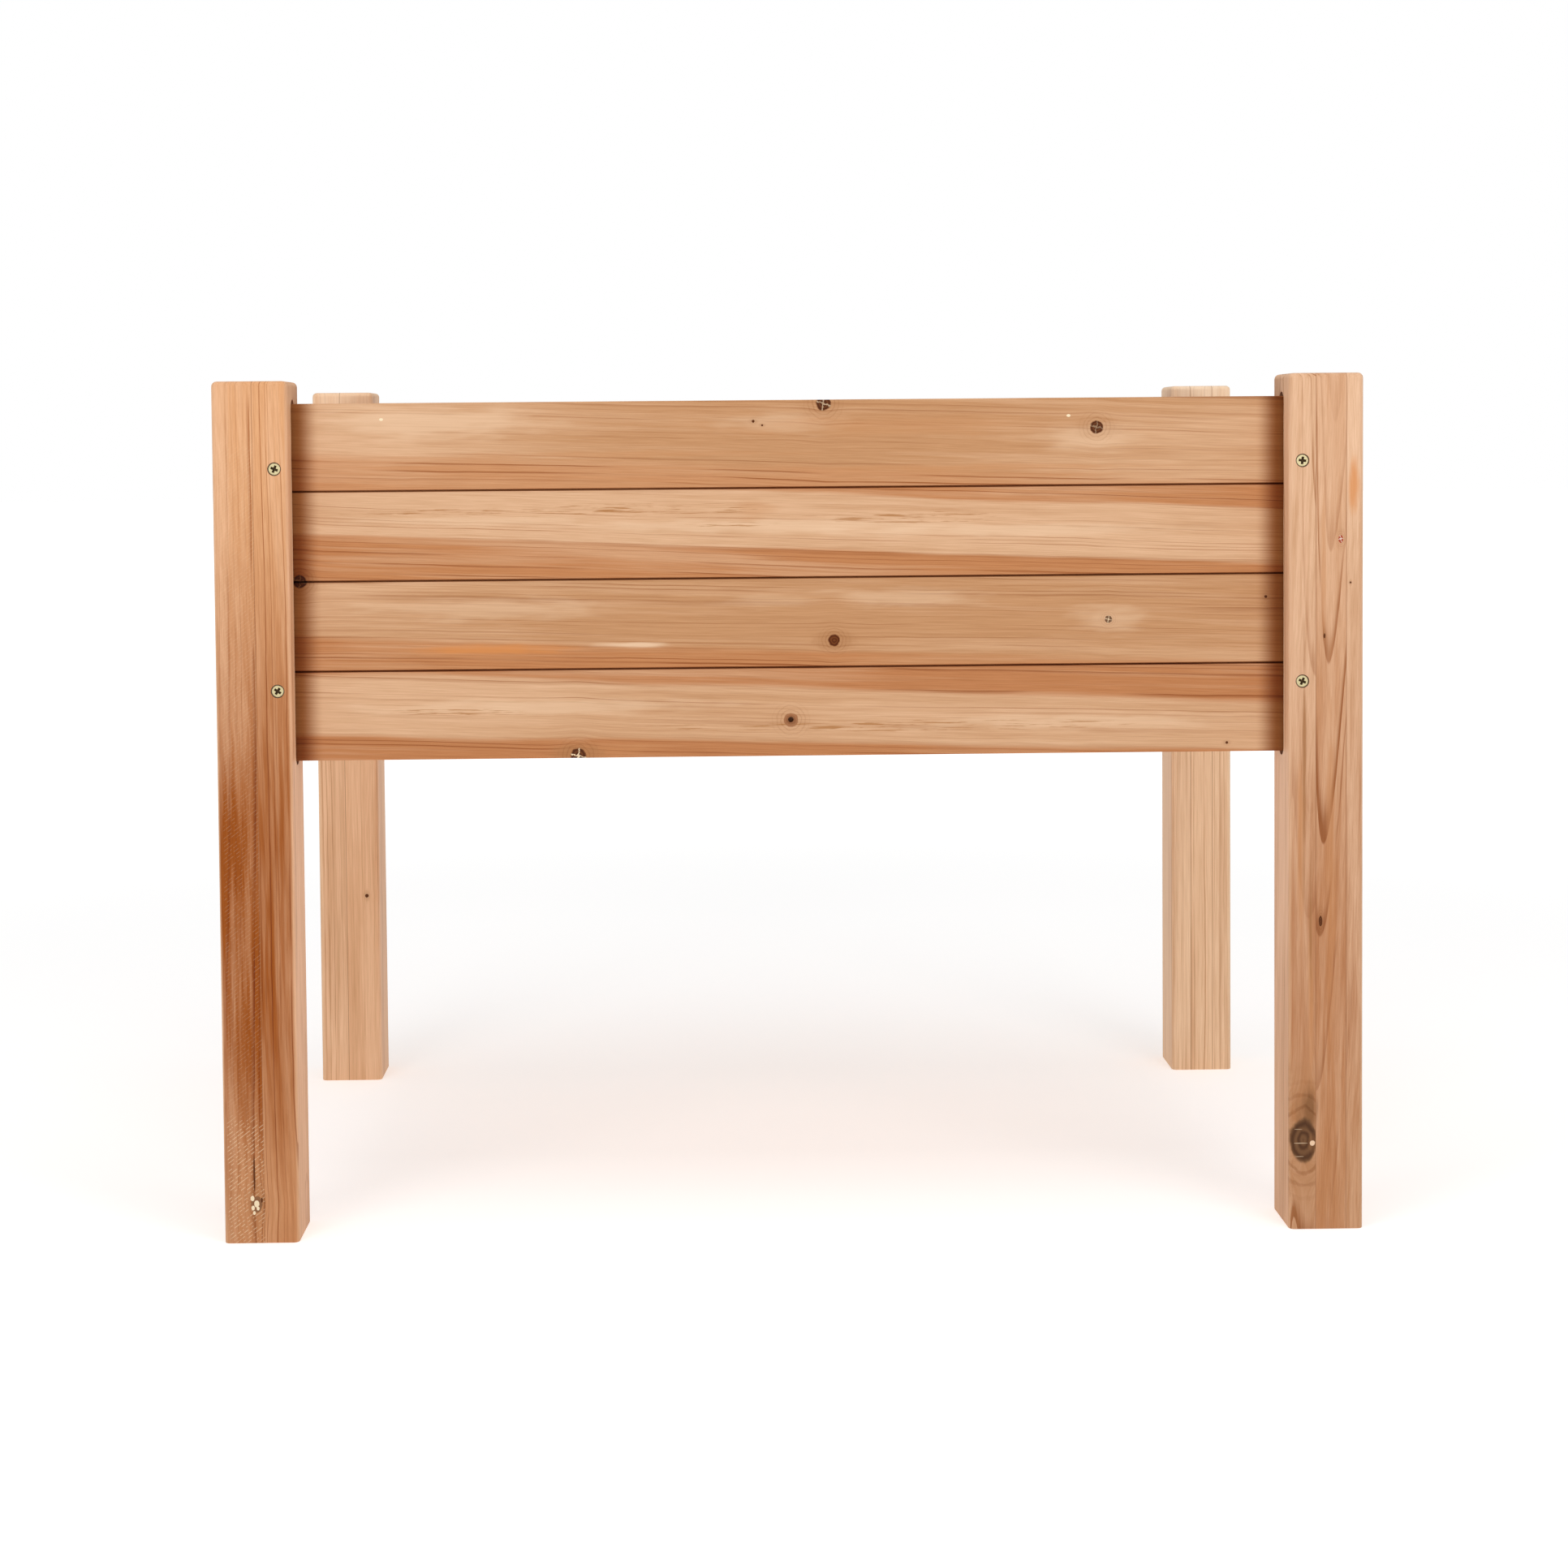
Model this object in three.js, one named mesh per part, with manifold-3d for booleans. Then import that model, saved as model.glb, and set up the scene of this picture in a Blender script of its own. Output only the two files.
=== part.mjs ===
// Raised planter on legs: four grooved posts, four tongue-and-groove walls and a slatted floor.
//
// Units are millimetres. +Z is up, +X runs along the planter's length, the front faces -Y,
// and the origin is at floor level in the middle of the four feet.
import * as THREE from 'three';
import { mergeVertices } from 'three/addons/utils/BufferGeometryUtils.js';
import Module from 'manifold-3d';

// ---------- driving dimensions ----------

const LENGTH = 1012;
const WIDTH = 650;
const HEIGHT = 762;

const POST = 66;
const POST_EDGE_ROUND = 5;
const POST_TOP_ROUND = 4.5;

const GROOVE_WIDTH = 18;
const GROOVE_DEPTH = 20;
const GROOVE_OVERRUN = 4;

const BOARD_THICK = 12;
const BOARD_SETBACK = 28;
const BOARD_PITCH = 80;
const BOARDS_PER_WALL = 4;
const WALL_BOTTOM = 425;
const WALL_HEIGHT = 317.3;
const BOARD_END_PLAY = 1.5;

const JOINT_GAP = 1.2;
const TONGUE_THICK = 4;
const TONGUE_HEIGHT = 6;
const TONGUE_PLAY = 0.3;
const TONGUE_SLOT_DEPTH = 6.5;
const UPPER_EASE = { height: 3.2, depth: 1 };
const LOWER_EASE = { height: 1.2, depth: 1 };
const RIM_EASE = { height: 0.6, depth: 0.6 };

const LEDGER = 20;
const LEDGER_END_PLAY = 1;
const BEARER_WIDTH = 36;
const BEARER_HEIGHT = 23.7;
const BEARER_END_PLAY = 0.5;

const SLAT_COUNT = 7;
const SLAT_WIDTH = 75;
const SLAT_THICK = 12;
const SLAT_GAP = 7;
const SLAT_PLAY = 1.5;

const POST_SCREW = { length: 50, shank: 2.5, head: 5.2, coneDepth: 2.7, sink: 0.5, point: 6 };
const POST_SCREW_INSET = 11.5;
const POST_SCREW_HEIGHTS = { upper: 685, lower: 490 };
const LEDGER_SCREW = { length: 28, shank: 2, head: 4, coneDepth: 2, sink: 0.4, point: 4 };
const LEDGER_SCREW_REACH = 0.42;
const CENTRE_HOLE = { hole: 2.5, countersink: 6 };
const BEARER_PILOT = { hole: 1.5, depth: 30 };

const TOUCH_GAP = 0.3;
const HOLE_PLAY = 0.3;
const HOLE_END_PLAY = 0.7;
const CUT_OVERSHOOT = 1;
const ROUND_STEPS = 3;
const SLOT_END_STEPS = 8;
const SCREW_SIDES = 12;

// ---------- sizes worked out from them ----------

const QUARTER_TURN = Math.PI / 2;
const BOARD_IN_GROOVE = GROOVE_DEPTH - BOARD_END_PLAY;
const WALL_INNER_FACE = BOARD_SETBACK + BOARD_THICK;
const WALL_TOP = WALL_BOTTOM + WALL_HEIGHT;
const CLEAR_LENGTH = LENGTH - 2 * POST;
const CLEAR_WIDTH = WIDTH - 2 * POST;
const BEARER_BOTTOM = WALL_BOTTOM + LEDGER + TOUCH_GAP;
const BEARER_TOP = BEARER_BOTTOM + BEARER_HEIGHT;
const CENTRE_HOLE_HEIGHT = BEARER_BOTTOM + BEARER_HEIGHT / 2;
const FLOOR_BOTTOM = BEARER_TOP + TOUCH_GAP;

const planter = new THREE.Group();

// ---------- materials ----------

const WOOD_COLOURS = {
  post: 0xdca678,
  board: 0xd29d72,
  ledger: 0xd8ab80,
  slat: 0xdcb58c,
};
const SCREW_COLOUR = 0xcdbf8a;

function woodMaterial(kind) {
  return new THREE.MeshStandardMaterial({
    color: WOOD_COLOURS[kind],
    roughness: 0.55,
    metalness: 0,
    flatShading: true,
  });
}

function screwMaterial() {
  return new THREE.MeshStandardMaterial({
    color: SCREW_COLOUR,
    roughness: 0.35,
    metalness: 1,
    flatShading: true,
  });
}

// ---------- solids: joining and cutting ----------

const wasm = await Module();
wasm.setup();

function withoutSlivers(index) {
  const kept = [];
  for (let i = 0; i < index.length; i += 3) {
    const [a, b, c] = index.slice(i, i + 3);
    if (a !== b && b !== c && c !== a) {
      kept.push(a, b, c);
    }
  }
  return Uint32Array.from(kept);
}

function toSolid(geometry) {
  const bare = geometry.clone();
  bare.deleteAttribute('normal');
  bare.deleteAttribute('uv');
  const merged = mergeVertices(bare);
  const vertProperties = Float32Array.from(merged.attributes.position.array);
  const triVerts = withoutSlivers(merged.index.array);
  return new wasm.Manifold(new wasm.Mesh({ numProp: 3, vertProperties, triVerts }));
}

function toGeometry(solid) {
  const mesh = solid.getMesh();
  const geometry = new THREE.BufferGeometry();
  geometry.setAttribute('position', new THREE.BufferAttribute(mesh.vertProperties, 3));
  geometry.setIndex(new THREE.BufferAttribute(mesh.triVerts, 1));
  return geometry;
}

function cut(geometry, cutters) {
  let solid = toSolid(geometry);
  for (const cutter of cutters) {
    solid = solid.subtract(toSolid(cutter));
  }
  return toGeometry(solid);
}

// ---------- shapes that several pieces use ----------

// A drawing's across, up and depth directions, turned to run along X or along Y.
const ACROSS_Y_DEPTH_X = new THREE.Matrix4().makeBasis(
  new THREE.Vector3(0, 1, 0),
  new THREE.Vector3(0, 0, 1),
  new THREE.Vector3(1, 0, 0),
);
const ACROSS_X_DEPTH_Y = new THREE.Matrix4().makeBasis(
  new THREE.Vector3(-1, 0, 0),
  new THREE.Vector3(0, 0, 1),
  new THREE.Vector3(0, 1, 0),
);

function box(low, high) {
  const size = high.map((value, axis) => value - low[axis]);
  const middle = high.map((value, axis) => (value + low[axis]) / 2);
  return new THREE.BoxGeometry(...size).translate(...middle);
}

// A turned shape about +Y, from [radius, height] pairs that start and end on the axis.
function turned(profile) {
  const points = profile.map(([radius, height]) => new THREE.Vector2(radius, height));
  return new THREE.LatheGeometry(points, SCREW_SIDES);
}

// The hole for a countersunk screw whose axis is +Y, its mouth in the plane at height 0.
function screwHole(screw, depth) {
  const radius = screw.shank + HOLE_PLAY;
  const mouth = screw.head + HOLE_PLAY + screw.sink;
  return turned([
    [0, -depth],
    [radius, -depth],
    [radius, radius - mouth],
    [mouth, 0],
    [mouth, CUT_OVERSHOOT],
    [0, CUT_OVERSHOOT],
  ]);
}

function plainHole(radius, depth) {
  return turned([
    [0, -depth],
    [radius, -depth],
    [radius, CUT_OVERSHOOT],
    [0, CUT_OVERSHOOT],
  ]);
}

// A countersunk screw with a cross recess, its head's face at height 0 and its point below.
function screwGeometry({ length, shank, head, coneDepth, point }) {
  const rim = 0.3;
  const tip = 0.4;
  const blank = turned([
    [0, -length],
    [tip, -length],
    [shank, point - length],
    [shank, -coneDepth - rim],
    [head, -rim],
    [head, 0],
    [0, 0],
  ]);
  const reach = head * 0.52;
  const blade = head * 0.12;
  const depth = coneDepth * 0.6;
  const crossways = box([-reach, -depth, -blade], [reach, CUT_OVERSHOOT, blade]);
  const lengthways = box([-blade, -depth, -reach], [blade, CUT_OVERSHOOT, reach]);
  return cut(blank, [crossways, lengthways]);
}

// ---------- posts ----------

// Each post is modelled as the front left one: its outer faces look along -X and -Y,
// and its two grooves are in the faces that look along +X and +Y.

function postSection() {
  const half = POST / 2;
  const flat = half - POST_EDGE_ROUND;
  const outline = new THREE.Shape();
  outline.absarc(flat, flat, POST_EDGE_ROUND, 0, QUARTER_TURN);
  outline.absarc(-flat, flat, POST_EDGE_ROUND, QUARTER_TURN, 2 * QUARTER_TURN);
  outline.absarc(-flat, -flat, POST_EDGE_ROUND, 2 * QUARTER_TURN, 3 * QUARTER_TURN);
  outline.absarc(flat, -flat, POST_EDGE_ROUND, 3 * QUARTER_TURN, 4 * QUARTER_TURN);
  return outline;
}

// Both ends of the extrusion are rounded, so it starts low and its foot is sawn off flat.
function postBlank() {
  const blank = new THREE.ExtrudeGeometry(postSection(), {
    depth: HEIGHT,
    curveSegments: ROUND_STEPS,
    bevelSegments: ROUND_STEPS,
    bevelThickness: POST_TOP_ROUND,
    bevelSize: POST_TOP_ROUND,
    bevelOffset: -POST_TOP_ROUND,
  });
  return blank.translate(0, 0, -POST_TOP_ROUND);
}

function footSaw() {
  return box([-POST, -POST, -HEIGHT], [POST, POST, 0]);
}

function grooveOutline() {
  const radius = GROOVE_WIDTH / 2;
  const low = WALL_BOTTOM - GROOVE_OVERRUN + radius;
  const high = WALL_TOP + GROOVE_OVERRUN - radius;
  const outline = new THREE.Shape();
  outline.absarc(0, high, radius, 0, 2 * QUARTER_TURN);
  outline.absarc(0, low, radius, 2 * QUARTER_TURN, 4 * QUARTER_TURN);
  return outline;
}

function grooveCutter(turn) {
  const cutter = new THREE.ExtrudeGeometry(grooveOutline(), {
    depth: GROOVE_DEPTH + CUT_OVERSHOOT,
    curveSegments: SLOT_END_STEPS,
    bevelEnabled: false,
  });
  cutter.translate(0, 0, POST / 2 - GROOVE_DEPTH);
  return cutter.applyMatrix4(turn);
}

function postScrewPlaces() {
  const along = POST / 2 - POST_SCREW_INSET;
  const face = -POST / 2;
  const places = [];
  for (const [level, height] of Object.entries(POST_SCREW_HEIGHTS)) {
    const longWall = { turn: [Math.PI, 0, 0], at: [along, face, height] };
    const shortWall = { turn: [0, 0, QUARTER_TURN], at: [face, along, height] };
    places.push({ level, side: 'long', ...longWall });
    places.push({ level, side: 'short', ...shortWall });
  }
  return places;
}

function placed(geometry, { turn, at }) {
  const copy = geometry.clone();
  copy.applyMatrix4(new THREE.Matrix4().makeRotationFromEuler(new THREE.Euler(...turn)));
  return copy.translate(...at);
}

function postGeometry() {
  const depth = POST_SCREW.length + POST_SCREW.sink + HOLE_END_PLAY;
  const hole = screwHole(POST_SCREW, depth);
  const holes = postScrewPlaces().map((place) => placed(hole, place));
  const grooves = [grooveCutter(ACROSS_Y_DEPTH_X), grooveCutter(ACROSS_X_DEPTH_Y)];
  return cut(postBlank(), [footSaw(), ...grooves, ...holes]);
}

// The post and its four screws stand in one turned group. A wall's screws are named after
// the face that they enter, so the long and short walls change places on every second post.
function addPost(name, quarters, x, y, faces) {
  const group = new THREE.Group();
  group.position.set(x, y, 0);
  group.rotation.z = quarters * QUARTER_TURN;

  const post = new THREE.Mesh(postShape, woodMaterial('post'));
  post.name = `post_${name}`;
  group.add(post);

  for (const place of postScrewPlaces()) {
    const screw = new THREE.Mesh(postScrewShape, screwMaterial());
    screw.name = `post_screw_${name}_${faces[place.side]}_${place.level}`;
    screw.rotation.set(...place.turn);
    const inward = place.side === 'long' ? [0, POST_SCREW.sink, 0] : [POST_SCREW.sink, 0, 0];
    screw.position.set(...place.at).add(new THREE.Vector3(...inward));
    group.add(screw);
  }
  planter.add(group);
}

// ---------- walls ----------

// Each wall is modelled as the front one, about the middle of its thickness: it runs along X
// and its outer face looks along -Y. Heights are the planter's own.

// The section of one board, its outer face at the left of the drawing.
function boardSection(low, isTop) {
  const half = BOARD_THICK / 2;
  const high = isTop ? WALL_TOP : low + BOARD_PITCH - JOINT_GAP;
  const ease = isTop ? RIM_EASE : UPPER_EASE;
  const slot = TONGUE_THICK / 2 + TONGUE_PLAY;
  const outline = new THREE.Shape();
  outline.moveTo(-half + LOWER_EASE.depth, low);
  outline.lineTo(-slot, low);
  outline.lineTo(-slot, low + TONGUE_SLOT_DEPTH);
  outline.lineTo(slot, low + TONGUE_SLOT_DEPTH);
  outline.lineTo(slot, low);
  outline.lineTo(half, low);
  outline.lineTo(half, high);
  if (!isTop) {
    outline.lineTo(TONGUE_THICK / 2, high);
    outline.lineTo(TONGUE_THICK / 2, high + TONGUE_HEIGHT);
    outline.lineTo(-TONGUE_THICK / 2, high + TONGUE_HEIGHT);
    outline.lineTo(-TONGUE_THICK / 2, high);
  }
  outline.lineTo(-half + ease.depth, high);
  outline.lineTo(-half, high - ease.height);
  outline.lineTo(-half, low + LOWER_EASE.height);
  return outline;
}

function boardBlank(length, low, isTop) {
  const blank = new THREE.ExtrudeGeometry(boardSection(low, isTop), {
    depth: length,
    bevelEnabled: false,
  });
  return blank.translate(0, 0, -length / 2).applyMatrix4(ACROSS_Y_DEPTH_X);
}

const THROUGH_BOARD = BOARD_THICK + 2 * CUT_OVERSHOOT;

function endHoles(clearSpan, low, high) {
  const hole = plainHole(POST_SCREW.shank + HOLE_PLAY, THROUGH_BOARD);
  const reach = clearSpan / 2 + POST_SCREW_INSET;
  const holes = [];
  for (const height of Object.values(POST_SCREW_HEIGHTS)) {
    if (height < low || height > high) {
      continue;
    }
    for (const x of [-reach, reach]) {
      holes.push(placed(hole, { turn: [Math.PI, 0, 0], at: [x, -BOARD_THICK / 2, height] }));
    }
  }
  return holes;
}

function centreHole() {
  const { hole, countersink } = CENTRE_HOLE;
  const shape = turned([
    [0, -THROUGH_BOARD],
    [hole, -THROUGH_BOARD],
    [hole, hole - countersink],
    [countersink, 0],
    [countersink, CUT_OVERSHOOT],
    [0, CUT_OVERSHOOT],
  ]);
  return placed(shape, { turn: [Math.PI, 0, 0], at: [0, -BOARD_THICK / 2, CENTRE_HOLE_HEIGHT] });
}

function ledgerScrewPlaces(wall) {
  const reach = wall.clearSpan * LEDGER_SCREW_REACH;
  const inner = BOARD_THICK / 2 + TOUCH_GAP + LEDGER;
  const height = wall.ledgerBottom + LEDGER / 2;
  const xs = wall.isLong ? [-reach, 0, reach] : [-reach, reach];
  return xs.map((x) => ({ turn: [0, 0, 0], at: [x, inner, height] }));
}

function ledgerScrewHoles(wall) {
  const depth = LEDGER_SCREW.length + LEDGER_SCREW.sink + HOLE_END_PLAY;
  const hole = screwHole(LEDGER_SCREW, depth);
  return ledgerScrewPlaces(wall).map((place) => placed(hole, place));
}

function boardGeometry(wall, number) {
  const low = WALL_BOTTOM + (BOARDS_PER_WALL - number) * BOARD_PITCH;
  const isTop = number === 1;
  const isBottom = number === BOARDS_PER_WALL;
  const length = wall.clearSpan + 2 * BOARD_IN_GROOVE;
  const cutters = endHoles(wall.clearSpan, low, low + BOARD_PITCH);
  if (isBottom) {
    cutters.push(...ledgerScrewHoles(wall));
  }
  if (isBottom && wall.isLong) {
    cutters.push(centreHole());
  }
  return cut(boardBlank(length, low, isTop), cutters);
}

function ledgerGeometry(wall) {
  const half = wall.clearSpan / 2 - LEDGER_END_PLAY;
  const outer = BOARD_THICK / 2 + TOUCH_GAP;
  const low = wall.ledgerBottom;
  const blank = box([-half, outer, low], [half, outer + LEDGER, low + LEDGER]);
  return cut(blank, ledgerScrewHoles(wall));
}

function addWall(name, wall, quarters, x, y) {
  const group = new THREE.Group();
  group.position.set(x, y, 0);
  group.rotation.z = quarters * QUARTER_TURN;

  for (let number = 1; number <= BOARDS_PER_WALL; number += 1) {
    const board = new THREE.Mesh(boardGeometry(wall, number), woodMaterial('board'));
    board.name = `${name}_board_${number}`;
    group.add(board);
  }

  const ledger = new THREE.Mesh(ledgerGeometry(wall), woodMaterial('ledger'));
  ledger.name = `${name}_ledger`;
  group.add(ledger);

  ledgerScrewPlaces(wall).forEach((place, i) => {
    const screw = new THREE.Mesh(ledgerScrewShape, screwMaterial());
    screw.name = `${name}_ledger_screw_${i + 1}`;
    screw.position.set(...place.at);
    screw.position.y -= LEDGER_SCREW.sink;
    group.add(screw);
  });
  planter.add(group);
}

// ---------- floor ----------

function addBearer() {
  const half = WIDTH / 2 - WALL_INNER_FACE - BEARER_END_PLAY;
  const side = BEARER_WIDTH / 2;
  const blank = box([-side, -half, BEARER_BOTTOM], [side, half, BEARER_TOP]);
  const pilot = plainHole(BEARER_PILOT.hole, BEARER_PILOT.depth);
  const front = { turn: [Math.PI, 0, 0], at: [0, -half, CENTRE_HOLE_HEIGHT] };
  const rear = { turn: [0, 0, 0], at: [0, half, CENTRE_HOLE_HEIGHT] };
  const geometry = cut(blank, [placed(pilot, front), placed(pilot, rear)]);
  const bearer = new THREE.Mesh(geometry, woodMaterial('ledger'));
  bearer.name = 'centre_bearer';
  planter.add(bearer);
}

function slatBlank() {
  const halfLength = LENGTH / 2 - WALL_INNER_FACE - SLAT_PLAY;
  const halfWidth = SLAT_WIDTH / 2;
  return box([-halfLength, -halfWidth, 0], [halfLength, halfWidth, SLAT_THICK]);
}

// The first and last slats are notched round the posts. side is -1 at the front, 1 at the rear.
function postNotches(middle, side) {
  const shoulder = CLEAR_LENGTH / 2 - SLAT_PLAY;
  const edge = side * (CLEAR_WIDTH / 2 - SLAT_PLAY) - middle;
  const outside = side * SLAT_WIDTH;
  const nearY = Math.min(edge, outside);
  const farY = Math.max(edge, outside);
  const above = SLAT_THICK + CUT_OVERSHOOT;
  return [
    box([-LENGTH, nearY, -CUT_OVERSHOOT], [-shoulder, farY, above]),
    box([shoulder, nearY, -CUT_OVERSHOOT], [LENGTH, farY, above]),
  ];
}

function addSlats() {
  const step = SLAT_WIDTH + SLAT_GAP;
  for (let number = 1; number <= SLAT_COUNT; number += 1) {
    const middle = (number - (SLAT_COUNT + 1) / 2) * step;
    let geometry = slatBlank();
    if (number === 1 || number === SLAT_COUNT) {
      geometry = cut(geometry, postNotches(middle, Math.sign(middle)));
    }
    const slat = new THREE.Mesh(geometry, woodMaterial('slat'));
    slat.name = `floor_slat_${number}`;
    slat.position.set(0, middle, FLOOR_BOTTOM);
    planter.add(slat);
  }
}

// ---------- assembly ----------

const postShape = postGeometry();
const postScrewShape = screwGeometry(POST_SCREW);
const ledgerScrewShape = screwGeometry(LEDGER_SCREW);

const postX = (LENGTH - POST) / 2;
const postY = (WIDTH - POST) / 2;
addPost('front_left', 0, -postX, -postY, { long: 'front', short: 'left' });
addPost('front_right', 1, postX, -postY, { long: 'right', short: 'front' });
addPost('rear_right', 2, postX, postY, { long: 'rear', short: 'right' });
addPost('rear_left', 3, -postX, postY, { long: 'left', short: 'rear' });

const longWall = { clearSpan: CLEAR_LENGTH, isLong: true, ledgerBottom: WALL_BOTTOM };
const shortWall = { clearSpan: CLEAR_WIDTH, isLong: false, ledgerBottom: BEARER_TOP - LEDGER };
const wallY = WIDTH / 2 - BOARD_SETBACK - BOARD_THICK / 2;
const wallX = LENGTH / 2 - BOARD_SETBACK - BOARD_THICK / 2;
addWall('front', longWall, 0, 0, -wallY);
addWall('right', shortWall, 1, wallX, 0);
addWall('rear', longWall, 2, 0, wallY);
addWall('left', shortWall, 3, -wallX, 0);

addBearer();
addSlats();

export default planter;
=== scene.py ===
# Raised planter on legs: softwood board walls between four grooved posts, over a slatted floor.
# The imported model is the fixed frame. This add-on models each wooden piece and screw again with its
# fine shape and its own grain, in metres, and sets up the stage.
import random
from math import cos, pi, radians, sin

import bmesh
import bpy
from bpy.props import FloatProperty, FloatVectorProperty, PointerProperty
from mathutils import Euler, Matrix, Vector


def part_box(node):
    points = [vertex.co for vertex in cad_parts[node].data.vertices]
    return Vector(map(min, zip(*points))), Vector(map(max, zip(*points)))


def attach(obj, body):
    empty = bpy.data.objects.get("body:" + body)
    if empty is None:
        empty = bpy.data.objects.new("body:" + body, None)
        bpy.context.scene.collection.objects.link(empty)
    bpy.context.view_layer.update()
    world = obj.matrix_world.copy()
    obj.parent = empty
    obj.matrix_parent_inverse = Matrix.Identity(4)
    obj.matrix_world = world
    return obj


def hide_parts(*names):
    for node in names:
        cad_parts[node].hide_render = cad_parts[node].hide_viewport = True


bl_info = {
    "name": "Raised planter on legs",
    "version": (1, 0, 0),
    "blender": (4, 5, 0),
    "location": "View3D > Sidebar > Planter",
    "description": "Models a softwood raised planter on legs around its packed frame",
    "category": "Object",
}

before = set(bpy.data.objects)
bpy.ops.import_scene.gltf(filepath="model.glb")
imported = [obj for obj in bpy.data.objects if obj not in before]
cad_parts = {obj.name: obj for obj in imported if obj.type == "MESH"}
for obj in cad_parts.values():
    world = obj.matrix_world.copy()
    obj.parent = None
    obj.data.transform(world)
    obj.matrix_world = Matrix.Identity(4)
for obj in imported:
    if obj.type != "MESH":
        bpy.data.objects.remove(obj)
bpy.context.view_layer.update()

POSTS = ("front_left", "front_right", "rear_right", "rear_left")
WALLS = ("front", "right", "rear", "left")
BOARDS_PER_WALL = 4
SLATS = 7
MM = 0.001
BOARD_HALF = 6 * MM
TINY = 0.001 * MM

# The stage, in metres and radians.
CAMERA_PLACE = (-0.0719, -2.6043, 0.7092)
CAMERA_YAW, CAMERA_PITCH, CAMERA_ROLL = -0.01666, -0.04156, -0.00836
CAMERA_SHIFT = (0.0204, -0.1521)
SENSOR_WIDTH = 36
FLOOR_RADIUS = 30
LIGHT_TARGET = (0, 0, 0.45)
SOFTBOXES = (
    # name, place, side of the square, share of the power
    ("left_softbox", (-1.14, -1.62, 1.15), 0.8, 1.0),
    ("right_softbox", (1.14, -1.62, 1.15), 0.8, 1.0),
    ("top_softbox", (0.0, -0.45, 2.2), 1.6, 2.8),
)


# ---------- settings that a user would change ----------


def length(name, description, millimetres, least):
    """A length setting, with its default and its smallest value in millimetres."""
    size = millimetres * MM
    return FloatProperty(name=name, description=description, default=size, min=least * MM, unit="LENGTH")


def tint(name, description, colour):
    """A colour setting."""
    kind = {"size": 3, "min": 0, "max": 1, "subtype": "COLOR"}
    return FloatVectorProperty(name=name, description=description, default=colour, **kind)


class PlanterSizes(bpy.types.PropertyGroup):
    """Sizes of the fine shapes that the frame leaves to this script."""

    post_round: length("Post edge round", "Radius of the four long edges of a post", 5, 1)
    post_top_round: length("Post top round", "Radius of the edges round the top of a post", 4.5, 1)
    groove_width: length("Groove width", "Width of the round-ended grooves that take the boards", 18, 13)
    groove_depth: length("Groove depth", "How far the grooves go into a post", 20, 5)
    groove_overrun: length(
        "Groove overrun", "How far a groove runs past the boards at its top and foot", 4, 1
    )
    tongue: length("Tongue thickness", "Thickness of the tongue along the top of a board", 4, 1)
    tongue_height: length("Tongue height", "Height of the tongue above the board's shoulder", 6, 1)
    arris: length("Arris", "Radius of the softened edges of boards, slats and battens", 0.6, 0.1)


class PlanterColours(bpy.types.PropertyGroup):
    """Colours of the timber, its knots and the plated screws."""

    sapwood: tint("Sapwood", "Pale outer wood", (0.735, 0.455, 0.275))
    tan: tint("Tan wood", "Duller flat-sawn wood", (0.57, 0.30, 0.145))
    heartwood: tint("Heartwood", "Orange-brown inner wood", (0.55, 0.237, 0.095))
    # Low on the front posts this colour stands partly for painted shade.
    deep: tint("Deep heartwood", "Darkest red-brown wood, low on the posts", (0.38, 0.115, 0.026))
    knot: tint("Knot", "Dark heart of a knot", (0.075, 0.017, 0.003))
    filler: tint("Filler", "Pale wood filler in cracks and open knots", (0.80, 0.60, 0.38))
    zinc: tint("Zinc", "Yellow-passivated zinc plating of the screws", (0.23, 0.19, 0.09))


class PlanterStage(bpy.types.PropertyGroup):
    """Camera and light of the stage."""

    lens: FloatProperty(
        name="Lens",
        description="Focal length on a 36 mm sensor, in millimetres",
        default=59.63,
        min=10,
    )
    key_power: FloatProperty(
        name="Side light power",
        description="Power of each of the two large side lights",
        default=5.5,
        min=0,
        unit="POWER",
    )
    sky: FloatProperty(
        name="Room light",
        description="Strength of the even light from all round",
        default=0.42,
        min=0,
    )


def settings():
    return bpy.context.scene.planter_sizes


def colours():
    return bpy.context.scene.planter_colours


# ---------- modelling with Blender's operators ----------


def nothing_selected():
    """Leaves object mode with nothing selected, so that an operator acts on its own piece only."""
    if bpy.context.object and bpy.context.object.mode != "OBJECT":
        bpy.ops.object.mode_set(mode="OBJECT")
    bpy.ops.object.select_all(action="DESELECT")


def only(piece):
    nothing_selected()
    piece.select_set(True)
    bpy.context.view_layer.objects.active = piece


def take(name):
    """Names the primitive that was just added, with its place moved into its mesh."""
    piece = bpy.context.object
    piece.name = name
    piece.data.name = name
    bpy.ops.object.transform_apply(location=True, rotation=True, scale=True)
    return piece


def add_block(name, low, high):
    low, high = Vector(low), Vector(high)
    nothing_selected()
    bpy.ops.mesh.primitive_cube_add(size=1, location=(low + high) / 2, scale=high - low)
    return take(name)


def start_edit(piece):
    only(piece)
    bpy.ops.object.mode_set(mode="EDIT")


def end_edit():
    bpy.ops.object.mode_set(mode="OBJECT")


def pick(piece, kind, wanted):
    """Selects, in edit mode, the faces or edges that wanted(item) is true for."""
    bpy.ops.mesh.select_mode(type=kind)
    bpy.ops.mesh.select_all(action="DESELECT")
    form = bmesh.from_edit_mesh(piece.data)
    items = form.faces if kind == "FACE" else form.edges
    for item in items:
        if wanted(item):
            item.select_set(True)
    form.select_flush_mode()
    bmesh.update_edit_mesh(piece.data)


def middle_of(edge):
    return (edge.verts[0].co + edge.verts[1].co) / 2


def runs_along(edge, axis):
    span = edge.verts[1].co - edge.verts[0].co
    return abs(span[axis]) > 0.999 * span.length


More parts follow.
